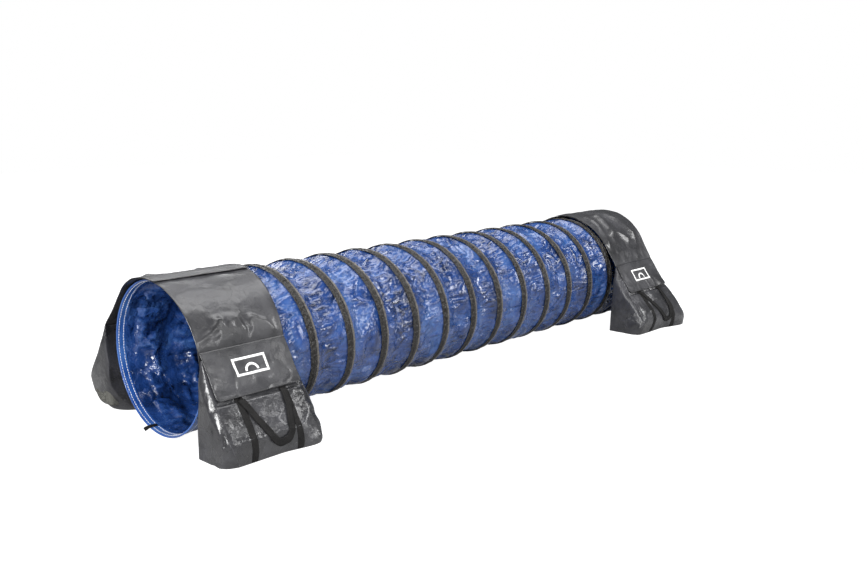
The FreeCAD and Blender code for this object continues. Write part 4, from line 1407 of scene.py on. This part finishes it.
def bands(side, cloth):
    outline = pouch_outline(side)
    edge = side.on_flap(side.size["flap_length"] - 0.014, -FLAP_GAP)
    parts = []
    for sign in (-1, 1):
        lean = 0.006 * sign
        along = sign * BAND_SPACING / 2
        path = [(along - lean, *edge)]
        path += [(along, out, up) for out, up in outline[2:]]
        path += [(along + lean, side.size["front_foot"] - 0.055, 0.0)]
        parts.append(ribbon(side, cloth, path, BAND_WIDTH, BAND_THICK, BAND_STANDOFF, 6))
    piece = build(side.name + "_pouch_bands", *joined(parts))
    dress(piece, BLACK, side.saddle, side.name + "_webbing_bands")


def handle(side, cloth):
    """The handle hangs from its two sewn ends under the flap, a little to one side."""
    top = side.on_flap(side.size["flap_length"], 0)[1] - HANDLE_BELOW_FLAP
    low = top - HANDLE_DROP
    shift = HANDLE_SHIFT[side.name]
    corners = [
        (BAND_SPACING / 2 - 0.004, top),
        (0.060 + shift, top - 0.070),
        (0.010 + shift, low + 0.020),
        (-0.010 + shift, low + 0.006),
        (-0.048 + shift, low + 0.014),
        (-0.066 + shift * 0.5, low + 0.040),
        (-0.088, top - 0.060),
        (-BAND_SPACING / 2 + 0.002, top),
    ]
    path = [(along, front_out(side, up), up) for along, up in corners]
    parts = ribbon(side, cloth, path, HANDLE_WIDTH, HANDLE_THICK, HANDLE_STANDOFF, 4)
    piece = build(side.name + "_carry_handle", *parts)
    dress(piece, BLACK, side.name + "_handle", side.name + "_handle")


def saddle_side(name):
    side = Side(name)
    cover(side)
    cloth = pouch(side)
    sandbag(side)
    flap(side)
    bands(side, cloth)
    handle(side, cloth)
    if side.front:
        emblem(side)


def finish_frame_nodes():
    """Materials for the CAD nodes that stay as they are."""
    for name, node in frame["nodes"].items():
        strip = name.endswith(("hook_strip", "loop_strip"))
        if strip or name.endswith("_hoop"):
            node.data.materials.clear()
            node.data.materials.append(FASTENER if strip else STEEL)


# ---------------------------------------------------------------- stage


def floor():
    """White paper: evenly white to the camera, and dim enough not to light the object."""
    wide = 14.0
    corners = [(-wide, -wide, 0), (wide, -wide, 0), (wide, wide, 0), (-wide, wide, 0)]
    piece = build("studio_floor", np.array(corners), [[0, 1, 2, 3]])
    material, tree, shader = new_material("floor_paper")
    seen = add(tree, "LightPath", {}).outputs["Is Camera Ray"]
    looks = {
        "Base Color": (0.42, 0.42, 0.42, 1),
        "Roughness": 0.9,
        "Emission Color": (1, 1, 1, 1),
        "Emission Strength": span(tree, seen, 0.0, 1.0, 0.12, 1.0),
    }
    fill(tree, shader, looks)
    piece.data.materials.append(material)


def world():
    sky = bpy.data.worlds.new("studio")
    sky.use_nodes = True
    tree = sky.node_tree
    tree.nodes.clear()
    seen = add(tree, "Background", {"Color": (1, 1, 1, 1), "Strength": 1.0}).outputs[0]
    light = add(tree, "Background", {"Color": (0.93, 0.96, 1.0, 1), "Strength": 0.16}).outputs[0]
    camera_ray = add(tree, "LightPath", {}).outputs["Is Camera Ray"]
    mix = add(tree, "MixShader", {0: camera_ray, 1: light, 2: seen})
    add(tree, "OutputWorld", {"Surface": mix.outputs[0]})
    bpy.context.scene.world = sky


def aimed(name, data, place, aim):
    """A light or a camera at a place, turned to look at a point."""
    holder = bpy.data.objects.new(name, data)
    holder.location = place
    holder.rotation_euler = (Vector(aim) - Vector(place)).to_track_quat("-Z", "Y").to_euler()
    bpy.context.scene.collection.objects.link(holder)
    return holder


def area_light(name, place, aim, wide, tall, power):
    lamp = bpy.data.lights.new(name, "AREA")
    lamp.shape = "RECTANGLE"
    lamp.size, lamp.size_y = wide, tall
    lamp.energy = power
    aimed(name, lamp, place, aim)


def camera():
    lens = bpy.data.cameras.new("camera")
    lens.sensor_width = 36.0
    lens.lens = 38.6
    bpy.context.scene.camera = aimed("camera", lens, (-3.2668, -3.0886, 1.2567), (0.0198, 0.0, 0.3532))


camera()
world()
floor()
area_light("overhead", (0.0, -0.1, 3.0), (0.0, 0.0, 0.3), 5.0, 1.3, 105)
area_light("front_left", (-4.6, -1.8, 2.2), (-0.9, 0.0, 0.3), 1.3, 1.5, 150)
area_light("front_middle", (-0.4, -4.6, 1.9), (0.0, 0.0, 0.3), 2.6, 0.8, 80)
area_light("front_right", (3.2, -3.6, 2.4), (1.1, 0.0, 0.3), 1.2, 1.8, 125)
area_light("behind", (0.5, 3.6, 3.0), (0.0, 0.0, 0.5), 4.0, 0.8, 70)
area_light("mouth", (-2.9, -1.1, 1.3), (-1.1, 0.25, 0.3), 0.5, 0.5, 15)
bpy.context.scene.view_settings.view_transform = "Standard"

tunnel_skin()
rib_tape()
spring_wire()
for each_end in ("near", "far"):
    hem(each_end)
    hem_stitching(each_end)
closing_strap()
for each_side in FITS:
    saddle_side(each_side)
finish_frame_nodes()
